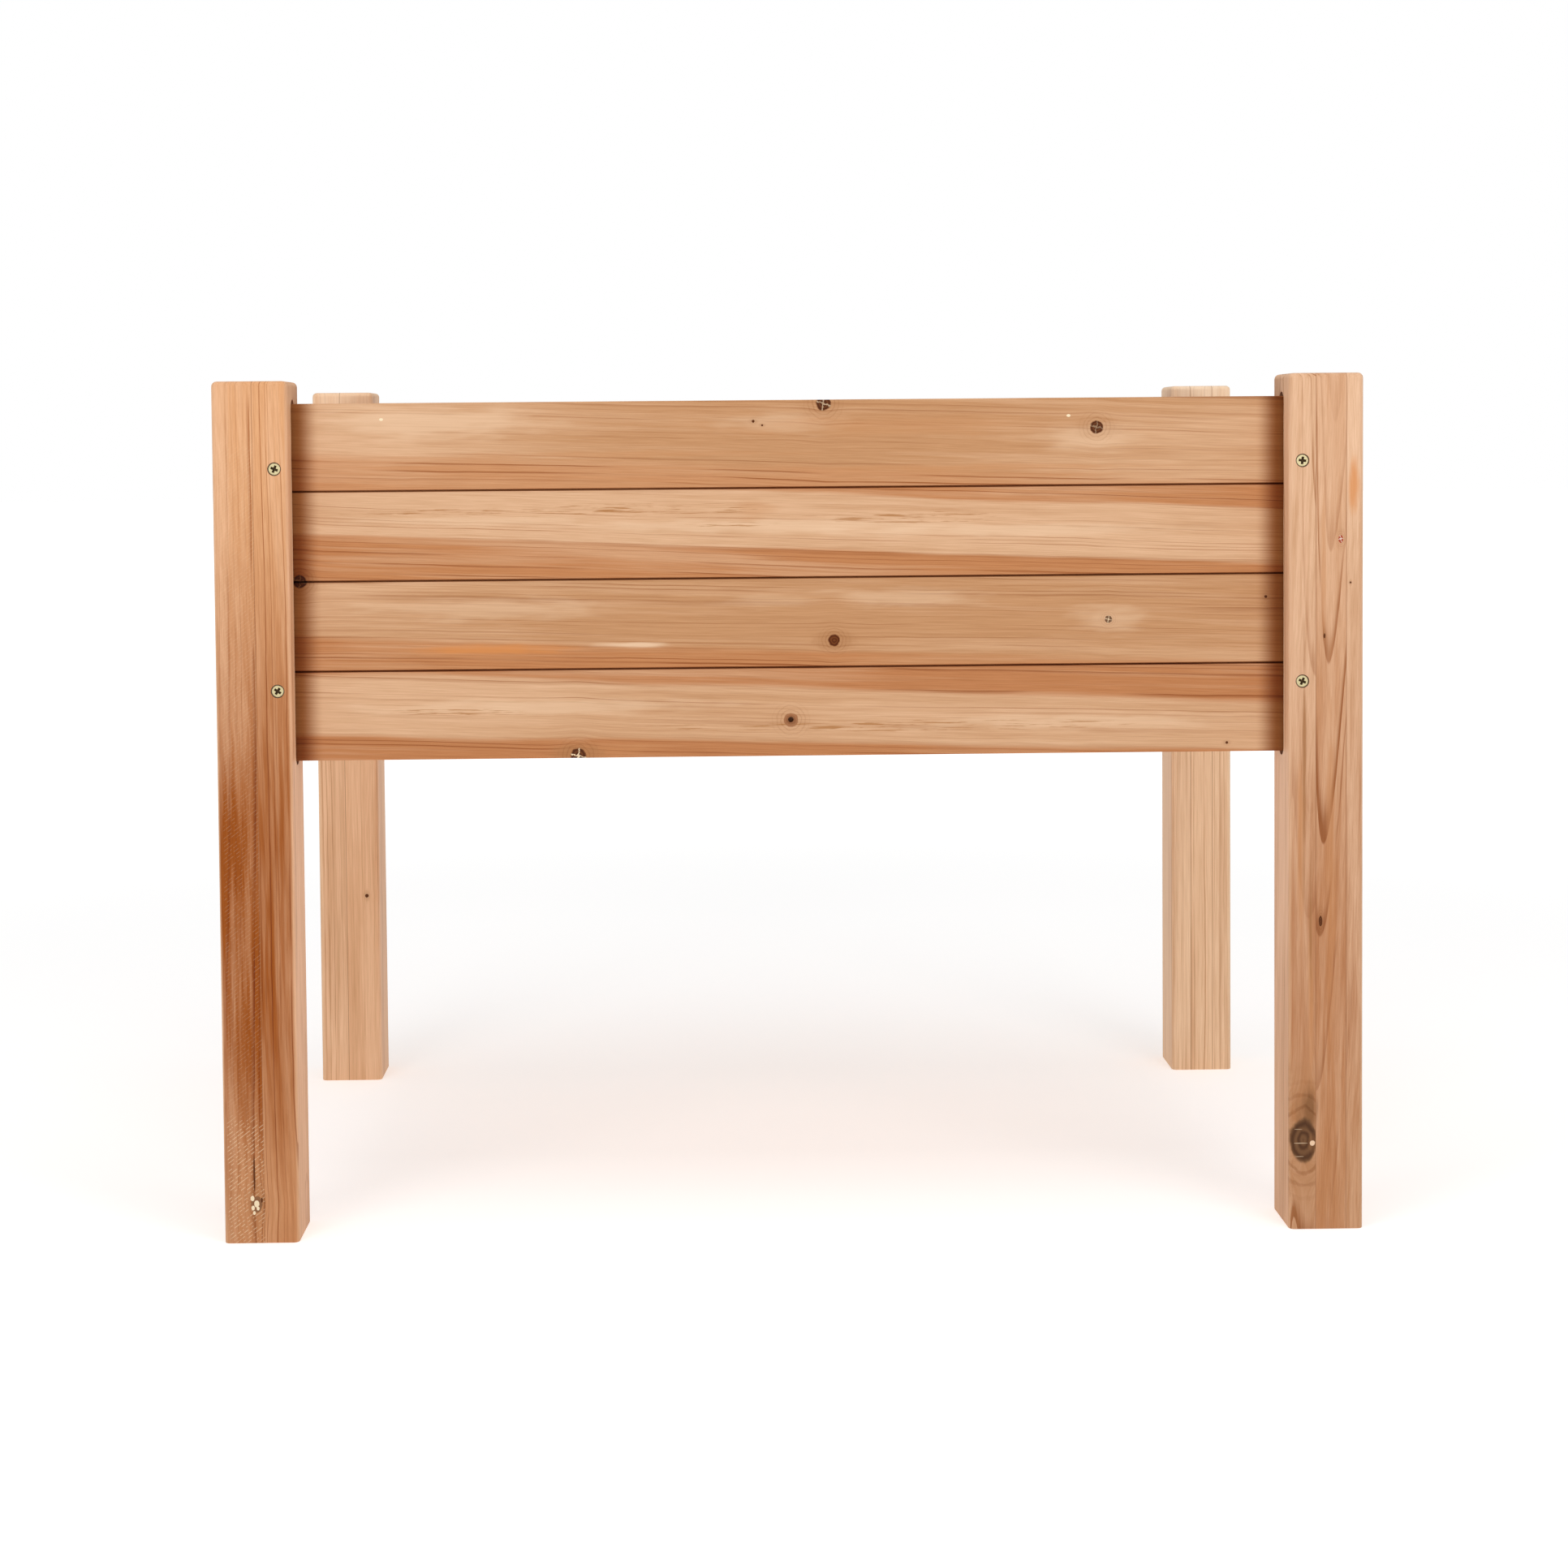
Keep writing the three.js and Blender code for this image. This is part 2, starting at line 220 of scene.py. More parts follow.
def round_edges(piece, wanted, radius, steps):
    pick(piece, "EDGE", wanted)
    bpy.ops.mesh.bevel(offset=radius, segments=steps, profile=0.5, affect="EDGES")


def two_materials(piece, inner):
    """Leaves the first slot for the piece's own material, and puts the inner one second."""
    piece.data.materials.append(None)
    piece.data.materials.append(bpy.data.materials[inner])


def carve(piece, cutter, inner=None):
    """Cuts the cutter out of the piece, and deletes the cutter. inner names the cut's material."""
    if inner:
        if len(piece.data.materials) < 2:
            two_materials(piece, inner)
        two_materials(cutter, inner)
        start_edit(cutter)
        bpy.ops.mesh.select_all(action="SELECT")
        cutter.active_material_index = 1
        bpy.ops.object.material_slot_assign()
        end_edit()
    only(piece)
    modifier = piece.modifiers.new("carve", "BOOLEAN")
    modifier.operation = "DIFFERENCE"
    modifier.solver = "EXACT"
    modifier.object = cutter
    bpy.ops.object.modifier_apply(modifier=modifier.name)
    only(cutter)
    bpy.ops.object.delete()
    only(piece)


def copy_of(piece, name):
    only(piece)
    bpy.ops.object.duplicate(linked=False)
    twin = bpy.context.object
    twin.name = name
    twin.data.name = name
    return twin


def put(piece, turn, place):
    """Turns and moves a piece that was made at the origin, and keeps its place in its mesh."""
    only(piece)
    piece.rotation_euler = Euler(turn)
    piece.location = place
    bpy.ops.object.transform_apply(location=True, rotation=True, scale=True)
    return piece


def smooth(piece, angle=35):
    """Shades by angle, with flat faces kept flat beside their rounded edges."""
    only(piece)
    bpy.ops.object.shade_smooth_by_angle(angle=radians(angle))
    modifier = piece.modifiers.new("even shading", "WEIGHTED_NORMAL")
    modifier.keep_sharp = True
    bpy.ops.object.modifier_apply(modifier=modifier.name)


def add_round_cutter(name, profile, sides=32):
    """A closed round shape about the Z axis from (radius, height) steps, lowest first."""
    (first_radius, low), (next_radius, high) = profile[0], profile[1]
    nothing_selected()
    bpy.ops.mesh.primitive_cone_add(
        vertices=sides,
        radius1=first_radius,
        radius2=next_radius,
        depth=high - low,
        location=(0, 0, (low + high) / 2),
    )
    cutter = take(name)
    start_edit(cutter)
    radius, height = next_radius, high

    def at_top(face):
        return face.normal.z > 0.99 and abs(face.calc_center_median().z - height) < TINY

    for new_radius, new_height in profile[2:]:
        pick(cutter, "FACE", at_top)
        bpy.ops.mesh.extrude_region_move(TRANSFORM_OT_translate={"value": (0, 0, new_height - height)})
        share = new_radius / radius
        bpy.ops.transform.resize(value=(share, share, 1), center_override=(0, 0, new_height))
        radius, height = new_radius, new_height
    end_edit()
    return cutter


def hand_over(piece, node, material):
    """Gives a finished piece its material, and lets it stand for its frame node."""
    if piece.data.materials:
        piece.data.materials[0] = material
    else:
        piece.data.materials.append(material)
    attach(piece, "root")
    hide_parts(node)


# ---------- building node trees ----------


class Graph:
    """Adds nodes to one node tree and joins them as it goes."""

    def __init__(self, tree):
        self.tree = tree

    def add(self, kind, **values):
        node = self.tree.nodes.new(kind)
        for key, value in values.items():
            setattr(node, key, value)
        return node

    def join(self, socket, value):
        if isinstance(value, bpy.types.NodeSocket):
            self.tree.links.new(value, socket)
        else:
            socket.default_value = value

    def number(self, operation, *values, clamp=False):
        node = self.add("ShaderNodeMath", operation=operation, use_clamp=clamp)
        for socket, value in zip(node.inputs, values):
            self.join(socket, value)
        return node.outputs[0]

    def times(self, first, second, clamp=False):
        return self.number("MULTIPLY", first, second, clamp=clamp)

    def times_plus(self, first, second, third, clamp=False):
        return self.number("MULTIPLY_ADD", first, second, third, clamp=clamp)

    def plus(self, first, second):
        return self.number("ADD", first, second)

    def minus(self, first, second):
        return self.number("SUBTRACT", first, second)

    def over(self, first, second):
        return self.number("DIVIDE", first, second)

    def power(self, value, exponent):
        return self.number("POWER", value, exponent)

    def size(self, value):
        return self.number("ABSOLUTE", value)

    def vector(self, operation, *values):
        node = self.add("ShaderNodeVectorMath", operation=operation)
        for socket, value in zip(node.inputs, values):
            self.join(socket, value)
        is_number = operation in ("LENGTH", "DISTANCE", "DOT_PRODUCT")
        return node.outputs["Value" if is_number else "Vector"]

    def parts(self, vector):
        node = self.add("ShaderNodeSeparateXYZ")
        self.join(node.inputs[0], vector)
        return node.outputs

    def combined(self, along, across, out):
        node = self.add("ShaderNodeCombineXYZ")
        for socket, value in zip(node.inputs, (along, across, out)):
            self.join(socket, value)
        return node.outputs[0]

    def step(self, value, low, high):
        """0 at low and 1 at high, with a soft change between."""
        node = self.add("ShaderNodeMapRange", interpolation_type="SMOOTHSTEP")
        self.join(node.inputs["Value"], value)
        self.join(node.inputs["From Min"], low)
        self.join(node.inputs["From Max"], high)
        return node.outputs["Result"]

    def spots(self, along, across, along_scale, across_scale, seed):
        """A place for noise whose spots are stretched along the grain."""
        return self.combined(self.times(along, along_scale), self.times(across, across_scale), seed)

    def noise(self, vector, scale=1.0, detail=2.0, roughness=0.5):
        node = self.add("ShaderNodeTexNoise")
        self.join(node.inputs["Vector"], vector)
        self.join(node.inputs["Scale"], scale)
        self.join(node.inputs["Detail"], detail)
        self.join(node.inputs["Roughness"], roughness)
        return node.outputs["Fac"]

    def mix(self, share, first, second, blend="MIX"):
        node = self.add("ShaderNodeMix", data_type="RGBA", blend_type=blend, clamp_factor=True)
        self.join(node.inputs["Factor"], share)
        self.join(node.inputs["A"], first)
        self.join(node.inputs["B"], second)
        return node.outputs["Result"]

    def group(self, name, **values):
        node = self.add("ShaderNodeGroup")
        node.node_tree = bpy.data.node_groups[name]
        for key, value in values.items():
            self.join(node.inputs[key.replace("_", " ")], value)
        return node.outputs


SOCKETS = {"number": "NodeSocketFloat", "vector": "NodeSocketVector", "colour": "NodeSocketColor"}


def kind_of(default):
    """What a socket holds, from its default: four numbers are a colour, and three are a vector."""
    if isinstance(default, tuple):
        return "colour" if len(default) == 4 else "vector"
    return "number"


def new_group(name, inputs, outputs):
    """An empty shader node group: (graph, inputs, outputs).

    Each input has its default, or the word vector or colour where it is always joined.
    """
    tree = bpy.data.node_groups.new(name, "ShaderNodeTree")
    for key, default in inputs.items():
        kind = default if isinstance(default, str) else kind_of(default)
        socket = tree.interface.new_socket(name=key, in_out="INPUT", socket_type=SOCKETS[kind])
        if kind != default:
            socket.default_value = default
    for key, kind in outputs.items():
        tree.interface.new_socket(name=key, in_out="OUTPUT", socket_type=SOCKETS[kind])
    start = tree.nodes.new("NodeGroupInput")
    end = tree.nodes.new("NodeGroupOutput")
    return Graph(tree), start.outputs, end.inputs


# Every timber group reads piece coordinates in metres: X along the grain, Y across the face
# and Z out of it.


def make_grain_group():
    """Growth rings round a pith that may lean, with fine fibres and soft clouding."""
    graph, given, result = new_group(
        "Grain",
        {
            "Vector": "vector",
            "Pith": (0, -0.1, -0.03),
            "Lean": (0, 0, 0),
            "Ring Width": 0.004,
            "Waver": 0.004,
            "Bend": 0.0,
            "Seed": 0.0,
        },
        {"Latewood": "number", "Fibre": "number", "Streak": "number", "Cloud": "number"},
    )
    seed = given["Seed"]
    offset = graph.combined(graph.times(seed, 7.31), graph.times(seed, 3.17), seed)

    def stretched(source, along_scale, across_scale, **values):
        moved = graph.vector("MULTIPLY", source, (along_scale, across_scale, across_scale))
        return graph.noise(graph.vector("ADD", moved, offset), **values)

    slow = graph.minus(stretched(given["Vector"], 2.2, 14, detail=1.0), 0.5)
    quick = graph.minus(stretched(given["Vector"], 12, 60, detail=2.0), 0.5)
    wander = graph.times(slow, given["Waver"])
    wander = graph.times_plus(quick, 0.0022, wander)

    along, across, out = graph.parts(graph.vector("SUBTRACT", given["Vector"], given["Pith"]))
    _, lean_across, lean_out = graph.parts(given["Lean"])
    across = graph.minus(across, graph.times(along, lean_across))
    across = graph.plus(graph.minus(across, given["Bend"]), wander)
    out = graph.minus(out, graph.times(along, lean_out))
    flow = graph.combined(along, across, out)
    reach = graph.vector("LENGTH", graph.combined(0.0, across, out))

    uneven = graph.noise(graph.combined(graph.times(reach, 150), seed, 0.0), detail=1.0)
    rings = graph.over(reach, given["Ring Width"])
    rings = graph.plus(rings, graph.times(uneven, 2.6))
    through = graph.number("FRACT", rings)
    which = graph.combined(graph.number("FLOOR", rings), seed, 0.0)
    strength = graph.add("ShaderNodeTexWhiteNoise", noise_dimensions="3D")
    graph.join(strength.inputs["Vector"], which)
    rise = graph.power(graph.step(through, 0.55, 0.96), 2.0)
    fall = graph.step(through, 1.0, 0.97)
    line = graph.times(rise, fall)
    broken = graph.step(stretched(flow, 7, 60, detail=1.0), 0.32, 0.55)
    strong = graph.times_plus(graph.power(strength.outputs["Value"], 2.0), 0.9, 0.1)
    strong = graph.times(strong, broken)
    graph.join(result["Latewood"], graph.times(line, strong))

    graph.join(result["Fibre"], stretched(flow, 22, 1300, detail=3.0, roughness=0.6))
    graph.join(result["Streak"], stretched(flow, 3.5, 190, detail=3.0, roughness=0.6))
    graph.join(result["Cloud"], stretched(flow, 4, 40, detail=2.0))


def make_knot_group():
    """A knot: a dark core with rings and cracks, a warm halo, and grain that bends round it."""
    graph, given, result = new_group(
        "Knot",
        {
            "Vector": "vector",
            "Middle": (0, 0, 0),
            "Radius": 0.005,
            "Stretch": 1.0,
            "Depth": 1.0,
            "Limit": 1.0,
            "Cracks": 1.0,
            "Bending": 0.5,
            "Seed": 0.0,
        },
        {
            "Bend": "number",
            "Core": "number",
            "Rings": "number",
            "Halo": "number",
            "Crack": "number",
            "Waves": "number",
        },
    )
    radius = given["Radius"]
    long_radius = graph.times(radius, given["Stretch"])
    _, raw_across, _ = graph.parts(given["Vector"])
    inside = graph.number("LESS_THAN", raw_across, given["Limit"])
    along, across, out = graph.parts(graph.vector("SUBTRACT", given["Vector"], given["Middle"]))
    near = graph.step(graph.size(out), given["Depth"], graph.times(given["Depth"], 0.8))
    near = graph.times(near, inside)
    unit_along = graph.over(along, long_radius)
    unit_across = graph.over(across, radius)
    flat = graph.combined(unit_along, unit_across, given["Seed"])
    rough = graph.minus(graph.noise(flat, scale=1.3, detail=3.0), 0.5)
    distance = graph.vector("LENGTH", graph.combined(unit_along, unit_across, 0.0))
    distance = graph.times_plus(rough, 0.45, distance)

    core = graph.times(graph.step(distance, 1.10, 0.92), near)
    graph.join(result["Core"], core)
    ripple = graph.number("SINE", graph.times(distance, 14.0))
    graph.join(result["Rings"], graph.times_plus(ripple, 0.5, 0.5))

    crest = graph.number("SINE", graph.times(graph.power(distance, 0.8), 15.0))
    around = graph.times(graph.step(distance, 3.4, 1.3), graph.step(distance, 0.95, 1.15))
    waves = graph.times(graph.step(crest, 0.35, 0.95), around)
    graph.join(result["Waves"], graph.times(waves, near))

    squeezed = graph.combined(graph.over(unit_along, 2.2), unit_across, 0.0)
    aura = graph.step(graph.plus(graph.vector("LENGTH", squeezed), rough), 2.2, 0.8)
    graph.join(result["Halo"], graph.times(aura, near))

    thin = None
    for turn in (0.35, 1.75):
        line = graph.times(unit_along, sin(turn))
        line = graph.plus(line, graph.times(unit_across, cos(turn)))
        line = graph.size(graph.times_plus(rough, 1.1, line))
        thin = line if thin is None else graph.number("MINIMUM", thin, line)
    crack = graph.times(graph.step(thin, 0.11, 0.05), core)
    graph.join(result["Crack"], graph.times(crack, given["Cracks"]))

    spread = graph.power(graph.over(graph.size(unit_along), 2.6), 2.0)
    spread = graph.plus(spread, 1.0)
    swell = graph.power(graph.over(graph.size(unit_across), 1.7), 2.0)
    swell = graph.plus(swell, spread)
    push = graph.over(across, graph.times(swell, spread))
    push = graph.times(push, given["Bending"])
    graph.join(result["Bend"], graph.times(push, near))


def make_knot_stain_group():
    """Puts a knot's halo, core, rings and cracks over a wood colour."""
    graph, given, result = new_group(
        "Knot stain",
        {
            "Colour": "colour",
            "Core": 0.0,
            "Rings": 0.0,
            "Halo": 0.0,
            "Crack": 0.0,
            "Waves": 0.0,
            "Wave Strength": 0.2,
            "Halo Strength": 0.3,
            "Core Colour": (0.08, 0.03, 0.012, 1),
            "Ring Colour": (0.22, 0.085, 0.028, 1),
            "Crack Colour": (0.8, 0.6, 0.4, 1),
        },
        {"Colour": "colour"},
    )
    halo = graph.times(given["Halo"], given["Halo Strength"])
    warmed = graph.mix(halo, given["Colour"], (0.40, 0.18, 0.07, 1))
    waves = graph.times(given["Waves"], given["Wave Strength"])
    warmed = graph.mix(waves, warmed, (0.60, 0.44, 0.30, 1), blend="MULTIPLY")
    rings = graph.times(given["Rings"], 0.45)
    ringed = graph.mix(rings, given["Core Colour"], given["Ring Colour"])
    cored = graph.mix(given["Core"], warmed, ringed)
    graph.join(result["Colour"], graph.mix(given["Crack"], cored, given["Crack Colour"]))


def make_heart_group():
    """1 in the heartwood below a wavering line across the piece, 0 in the sapwood above it."""
    graph, given, result = new_group(
        "Heart edge",
        {
            "Vector": "vector",
            "Height": 0.02,
            "Slope": 0.0,
            "Softness": 0.004,
            "Seed": 0.0,
        },
        {"Heart": "number"},
    )
    along, across, _ = graph.parts(given["Vector"])
    wave = graph.noise(graph.spots(along, across, 5.0, 12.0, given["Seed"]), detail=2.0)
    wave = graph.times(graph.minus(wave, 0.5), 0.010)
    line = graph.times_plus(along, given["Slope"], given["Height"])
    above = graph.plus(graph.minus(across, line), wave)
    below = graph.times(given["Softness"], -1.0)
    graph.join(result["Heart"], graph.step(above, given["Softness"], below))


def make_fleck_group():
    """Short dark dashes along the grain, thickest in the middle of a long patch."""
    graph, given, result = new_group(
        "Flecks",
        {
            "Vector": "vector",
            "Middle": (0, 0, 0),
            "Half Length": 0.1,
            "Half Width": 0.01,
            "Seed": 0.0,
        },
        {"Flecks": "number"},
    )
    along, across, _ = graph.parts(graph.vector("SUBTRACT", given["Vector"], given["Middle"]))
    unit_along = graph.over(along, given["Half Length"])
    unit_across = graph.over(across, given["Half Width"])
    patch = graph.step(graph.vector("LENGTH", graph.combined(unit_along, unit_across, 0.0)), 1.0, 0.2)
    spots = graph.spots(along, across, 22.0, 640.0, given["Seed"])
    dashes = graph.noise(spots, detail=3.0, roughness=0.65)
    floor = graph.times_plus(patch, -0.12, 0.64)
    dashes = graph.step(dashes, floor, graph.plus(floor, 0.07))
    graph.join(result["Flecks"], graph.times(dashes, patch))


def make_patch_group():
    """A soft-edged patch along the grain where the wood is paler or warmer."""
    graph, given, result = new_group(
        "Soft patch",
        {
            "Vector": "vector",
            "Middle": (0, 0, 0),
            "Half Length": 0.1,
            "Half Width": 0.01,
            "Seed": 0.0,
        },
        {"Patch": "number"},
    )
    along, across, _ = graph.parts(graph.vector("SUBTRACT", given["Vector"], given["Middle"]))
    unit_along = graph.over(along, given["Half Length"])
    unit_across = graph.over(across, given["Half Width"])
    spots = graph.spots(along, across, 22.0, 130.0, given["Seed"])
    ragged = graph.minus(graph.noise(spots, detail=2.0), 0.5)
    reach = graph.vector("LENGTH", graph.combined(unit_along, unit_across, 0.0))
    reach = graph.times_plus(ragged, 1.3, reach)
    graph.join(result["Patch"], graph.step(reach, 1.0, 0.2))


def make_saw_group():
    """Slanting rows of fine saw marks, as raised pale dashes."""
    graph, given, result = new_group(
        "Saw marks",
        {
            "Vector": "vector",
            "Pitch": 0.0036,
            "Slant": 0.75,
            "Seed": 0.0,
        },
        {"Marks": "number"},
    )
    along, across, _ = graph.parts(given["Vector"])
    slanted = graph.minus(along, graph.times(across, given["Slant"]))
    row = graph.over(slanted, given["Pitch"])
    line = graph.number("PINGPONG", row, 0.5)
    line = graph.step(line, 0.17, 0.05)
    broken = graph.noise(graph.spots(along, across, 210.0, 330.0, given["Seed"]), detail=1.0)
    graph.join(result["Marks"], graph.times(line, graph.step(broken, 0.42, 0.56)))


def make_strip_group():
    """A post glued up from three strips: each strip's own coordinates, and the glue lines."""
    graph, given, result = new_group(
        "Glued strips",
        {
            "Vector": "vector",
            "First Joint": 0.022,
            "Second Joint": 0.044,
            "Shift": 0.37,
        },
        {"Vector": "vector", "Second": "number", "Third": "number", "Glue": "number"},
    )
    along, across, out = graph.parts(given["Vector"])
    second = graph.number("GREATER_THAN", across, given["First Joint"])
    third = graph.number("GREATER_THAN", across, given["Second Joint"])
    strip = graph.plus(second, third)
    moved = graph.times_plus(strip, given["Shift"], along)
    graph.join(result["Vector"], graph.combined(moved, across, out))
    graph.join(result["Second"], graph.minus(second, third))
    graph.join(result["Third"], third)
    to_first = graph.size(graph.minus(across, given["First Joint"]))
    to_second = graph.size(graph.minus(across, given["Second Joint"]))
    nearest = graph.number("MINIMUM", to_first, to_second)
    graph.join(result["Glue"], graph.step(nearest, 0.0006, 0.0001))


def make_timber_group():
    """Mixes the wood's colours by its heart, rings, fibres and clouds, and gives gloss and relief."""
    graph, given, result = new_group(
        "Timber",
        {
            "Sapwood": (0.72, 0.44, 0.257, 1),
            "Tan": (0.60, 0.32, 0.157, 1),
            "Heartwood": (0.55, 0.237, 0.095, 1),
            "Deep": (0.38, 0.115, 0.026, 1),
            "Tan Share": 0.0,
            "Heart": 0.0,
            "Deep Share": 0.0,
            "Latewood": 0.0,
            "Fibre": 0.5,
            "Streak": 0.5,
            "Cloud": 0.5,
            "Ring Contrast": 0.3,
        },
        {"Colour": "colour", "Roughness": "number", "Height": "number"},
    )
    cloud = graph.step(given["Cloud"], 0.30, 0.70)
    streak = graph.step(given["Streak"], 0.33, 0.67)
    uneven = graph.times_plus(streak, 0.5, graph.times_plus(cloud, 0.5, -0.5))
    # The tan share is partly duller wood and partly painted shade.
    tan = graph.times_plus(uneven, 0.8, given["Tan Share"], clamp=True)
    pale = graph.mix(tan, given["Sapwood"], given["Tan"])
    heart = graph.times(given["Heart"], graph.times_plus(uneven, 0.8, 0.85), clamp=True)
    base = graph.mix(heart, pale, given["Heartwood"])
    # Darker towards a post's foot: partly deep heartwood, partly painted shade.
    deep = graph.times(given["Deep Share"], graph.times_plus(uneven, 0.7, 0.9), clamp=True)
    base = graph.mix(deep, base, given["Deep"])
    deeper = graph.times_plus(given["Heart"], 0.35, given["Ring Contrast"])
    lines = graph.times(given["Latewood"], deeper, clamp=True)
    ringed = graph.mix(lines, base, (0.56, 0.38, 0.24, 1), blend="MULTIPLY")
    fibre = graph.step(given["Fibre"], 0.28, 0.72)
    shade = graph.mix(fibre, (0.82, 0.75, 0.67, 1), (1.0, 1.0, 1.0, 1))
    graph.join(result["Colour"], graph.mix(0.8, ringed, shade, blend="MULTIPLY"))
    rough = graph.times_plus(given["Latewood"], -0.08, 0.44)
    graph.join(result["Roughness"], graph.times_plus(given["Fibre"], 0.14, rough))
    height = graph.times_plus(given["Fibre"], 0.55, graph.times(given["Latewood"], 0.35))
    graph.join(result["Height"], height)


def make_shade_group():
    """Painted shade in a corner: darker wood against a post, or down in a joint between boards."""
    graph, given, result = new_group(
        "Painted corner shade",
        {
            "Colour": "colour",
            "Distance": 0.1,
            "Near": 0.005,
            "Far": 0.02,
            "Tone": (0.30, 0.15, 0.07, 1),
        },
        {"Colour": "colour"},
    )
    close = graph.step(given["Distance"], given["Far"], given["Near"])
    graph.join(result["Colour"], graph.mix(close, given["Colour"], given["Tone"], blend="MULTIPLY"))


# ---------- materials ----------


FLECK_COLOUR = (0.40, 0.17, 0.05, 1)
GLUE_COLOUR = (0.30, 0.12, 0.05, 1)


def rgba(colour):
    return (*colour, 1.0)


def piece_coordinates(graph, axes, origin):
    """Object coordinates turned so that X runs along the grain, Y across the face and Z out of it."""
    turn = Matrix(axes)
    mapping = graph.add("ShaderNodeMapping", vector_type="POINT")
    mapping.inputs["Rotation"].default_value = turn.to_euler("XYZ")
    mapping.inputs["Location"].default_value = -(turn @ Vector(origin))
    source = graph.add("ShaderNodeTexCoord")
    graph.join(mapping.inputs["Vector"], source.outputs["Object"])
    return mapping.outputs["Vector"]


def start_material(name):
    material = bpy.data.materials.new(name)
    material.use_nodes = True
    graph = Graph(material.node_tree)
    shader = next(node for node in material.node_tree.nodes if node.type == "BSDF_PRINCIPLED")
    return material, graph, shader


def find_knots(graph, place, look):
    """Each knot of a look, with the outputs of its own Knot group."""
    knots = []
    for number, spec in enumerate(look.get("knots", ())):
        found = graph.group(
            "Knot",
            Vector=place,
            Middle=(*spec["at"], 0.0),
            Radius=spec["radius"],
            Stretch=spec.get("stretch", 1.0),
            Depth=spec.get("depth", 1.0),
            Limit=spec.get("limit", 1.0),
            Cracks=spec.get("cracks", 1.0),
            Bending=spec.get("bending", 0.45),
            Seed=look["seed"] + number + 1.5,
        )
        knots.append((spec, found))
    return knots


def one_face(graph, across):
    """1 over the face that a post's look describes, and 0 where the wood turns round its edges."""
    return graph.times(graph.step(across, 0.0655, 0.0630), graph.step(across, 0.0005, 0.0030))


def heart_share(graph, place, strips, look):
    """How much of each point is heartwood: beyond its slanting edges, and in sawn heart strips."""
    heart = 0.0
    for number, (height, slope, side) in enumerate(look.get("hearts", ())):
        found = graph.group(
            "Heart edge",
            Vector=place,
            Height=height,
            Slope=slope,
            Softness=look.get("softness", 0.002) * side,
            Seed=look["seed"] + number,
        )
        heart = graph.number("MAXIMUM", heart, found["Heart"])
    if not strips:
        return heart
    first, second, third = look["strip_hearts"]
    share = graph.times_plus(strips["Second"], second - first, first)
    share = graph.times_plus(strips["Third"], third - first, share)
    heart = graph.number("MAXIMUM", heart, share)
    _, across, _ = graph.parts(place)
    return graph.times(heart, one_face(graph, across))


def tan_and_shade_share(graph, along, look):
    """How much tan, from a board's left end to its right end: partly tan wood, partly painted shade."""
    left, middle, right = look.get("tan", (0.2, 0.2, 0.2))
    tan = graph.times_plus(graph.step(along, -0.08, -0.42), left - middle, middle)
    return graph.times_plus(graph.step(along, 0.08, 0.42), right - middle, tan)


def deep_and_shade_share(graph, place, strips, look):
    """Darkest colour, growing towards a post's foot: partly deep heartwood, partly painted shade."""
    if "deep" not in look:
        return 0.0
    along, across, _ = graph.parts(place)
    low, high, strength = look["deep"]
    deep = graph.times(graph.step(along, high, low), strength)
    deep = graph.times(deep, graph.times_plus(graph.step(along, 0.02, 0.20), 0.55, 0.45))
    deep = graph.times(deep, one_face(graph, across))
    return graph.times(deep, graph.times_plus(strips["Second"], -0.12, 1.0))


def marks_of(graph, place, look, name, output, specs):
    """The mask of each mark that a group draws, with the mark's own row of the look."""
    found = []
    for number, spec in enumerate(specs):
        middle, half_length, half_width = spec[:3]
        mark = graph.group(
            name,
            Vector=place,
            Middle=(*middle, 0.0),
            Half_Length=half_length,
            Half_Width=half_width,
            Seed=look["seed"] + number,
        )
        found.append((mark[output], spec))
    return found


def saw_share(graph, place, look, spec):
    """Saw marks inside one window of a face."""
    along, across, _ = graph.parts(place)
    low, high, left, right, _ = spec
    marks = graph.group("Saw marks", Vector=place, Seed=look["seed"])["Marks"]
    for value, start, end in (
        (along, low - 0.02, low),
        (along, high + 0.02, high),
        (across, left - 0.002, left),
        (across, right + 0.002, right),
    ):
        marks = graph.times(marks, graph.step(value, start, end))
    return marks


def painted_shade_of(graph, along, across, look):
    """Painted shade of a board: (distance, near, far, tone) for its ends, then for each of its joints."""
    corners = []
    if "corner_at" in look:
        to_end = graph.minus(look["corner_at"], graph.size(along))
        corners.append((to_end, 0.004, 0.025, (0.42, 0.24, 0.11, 1)))
    # Thin painted shade along each joint.
    line = (0.0004, 0.0010, (0.52, 0.33, 0.20, 1))
    if look.get("joint_below"):
        corners.append((graph.plus(across, 0.0002), *line))
    if "joint_above" in look:
        corners.append((graph.minus(look["joint_above"] + 0.0002, across), *line))
    return corners


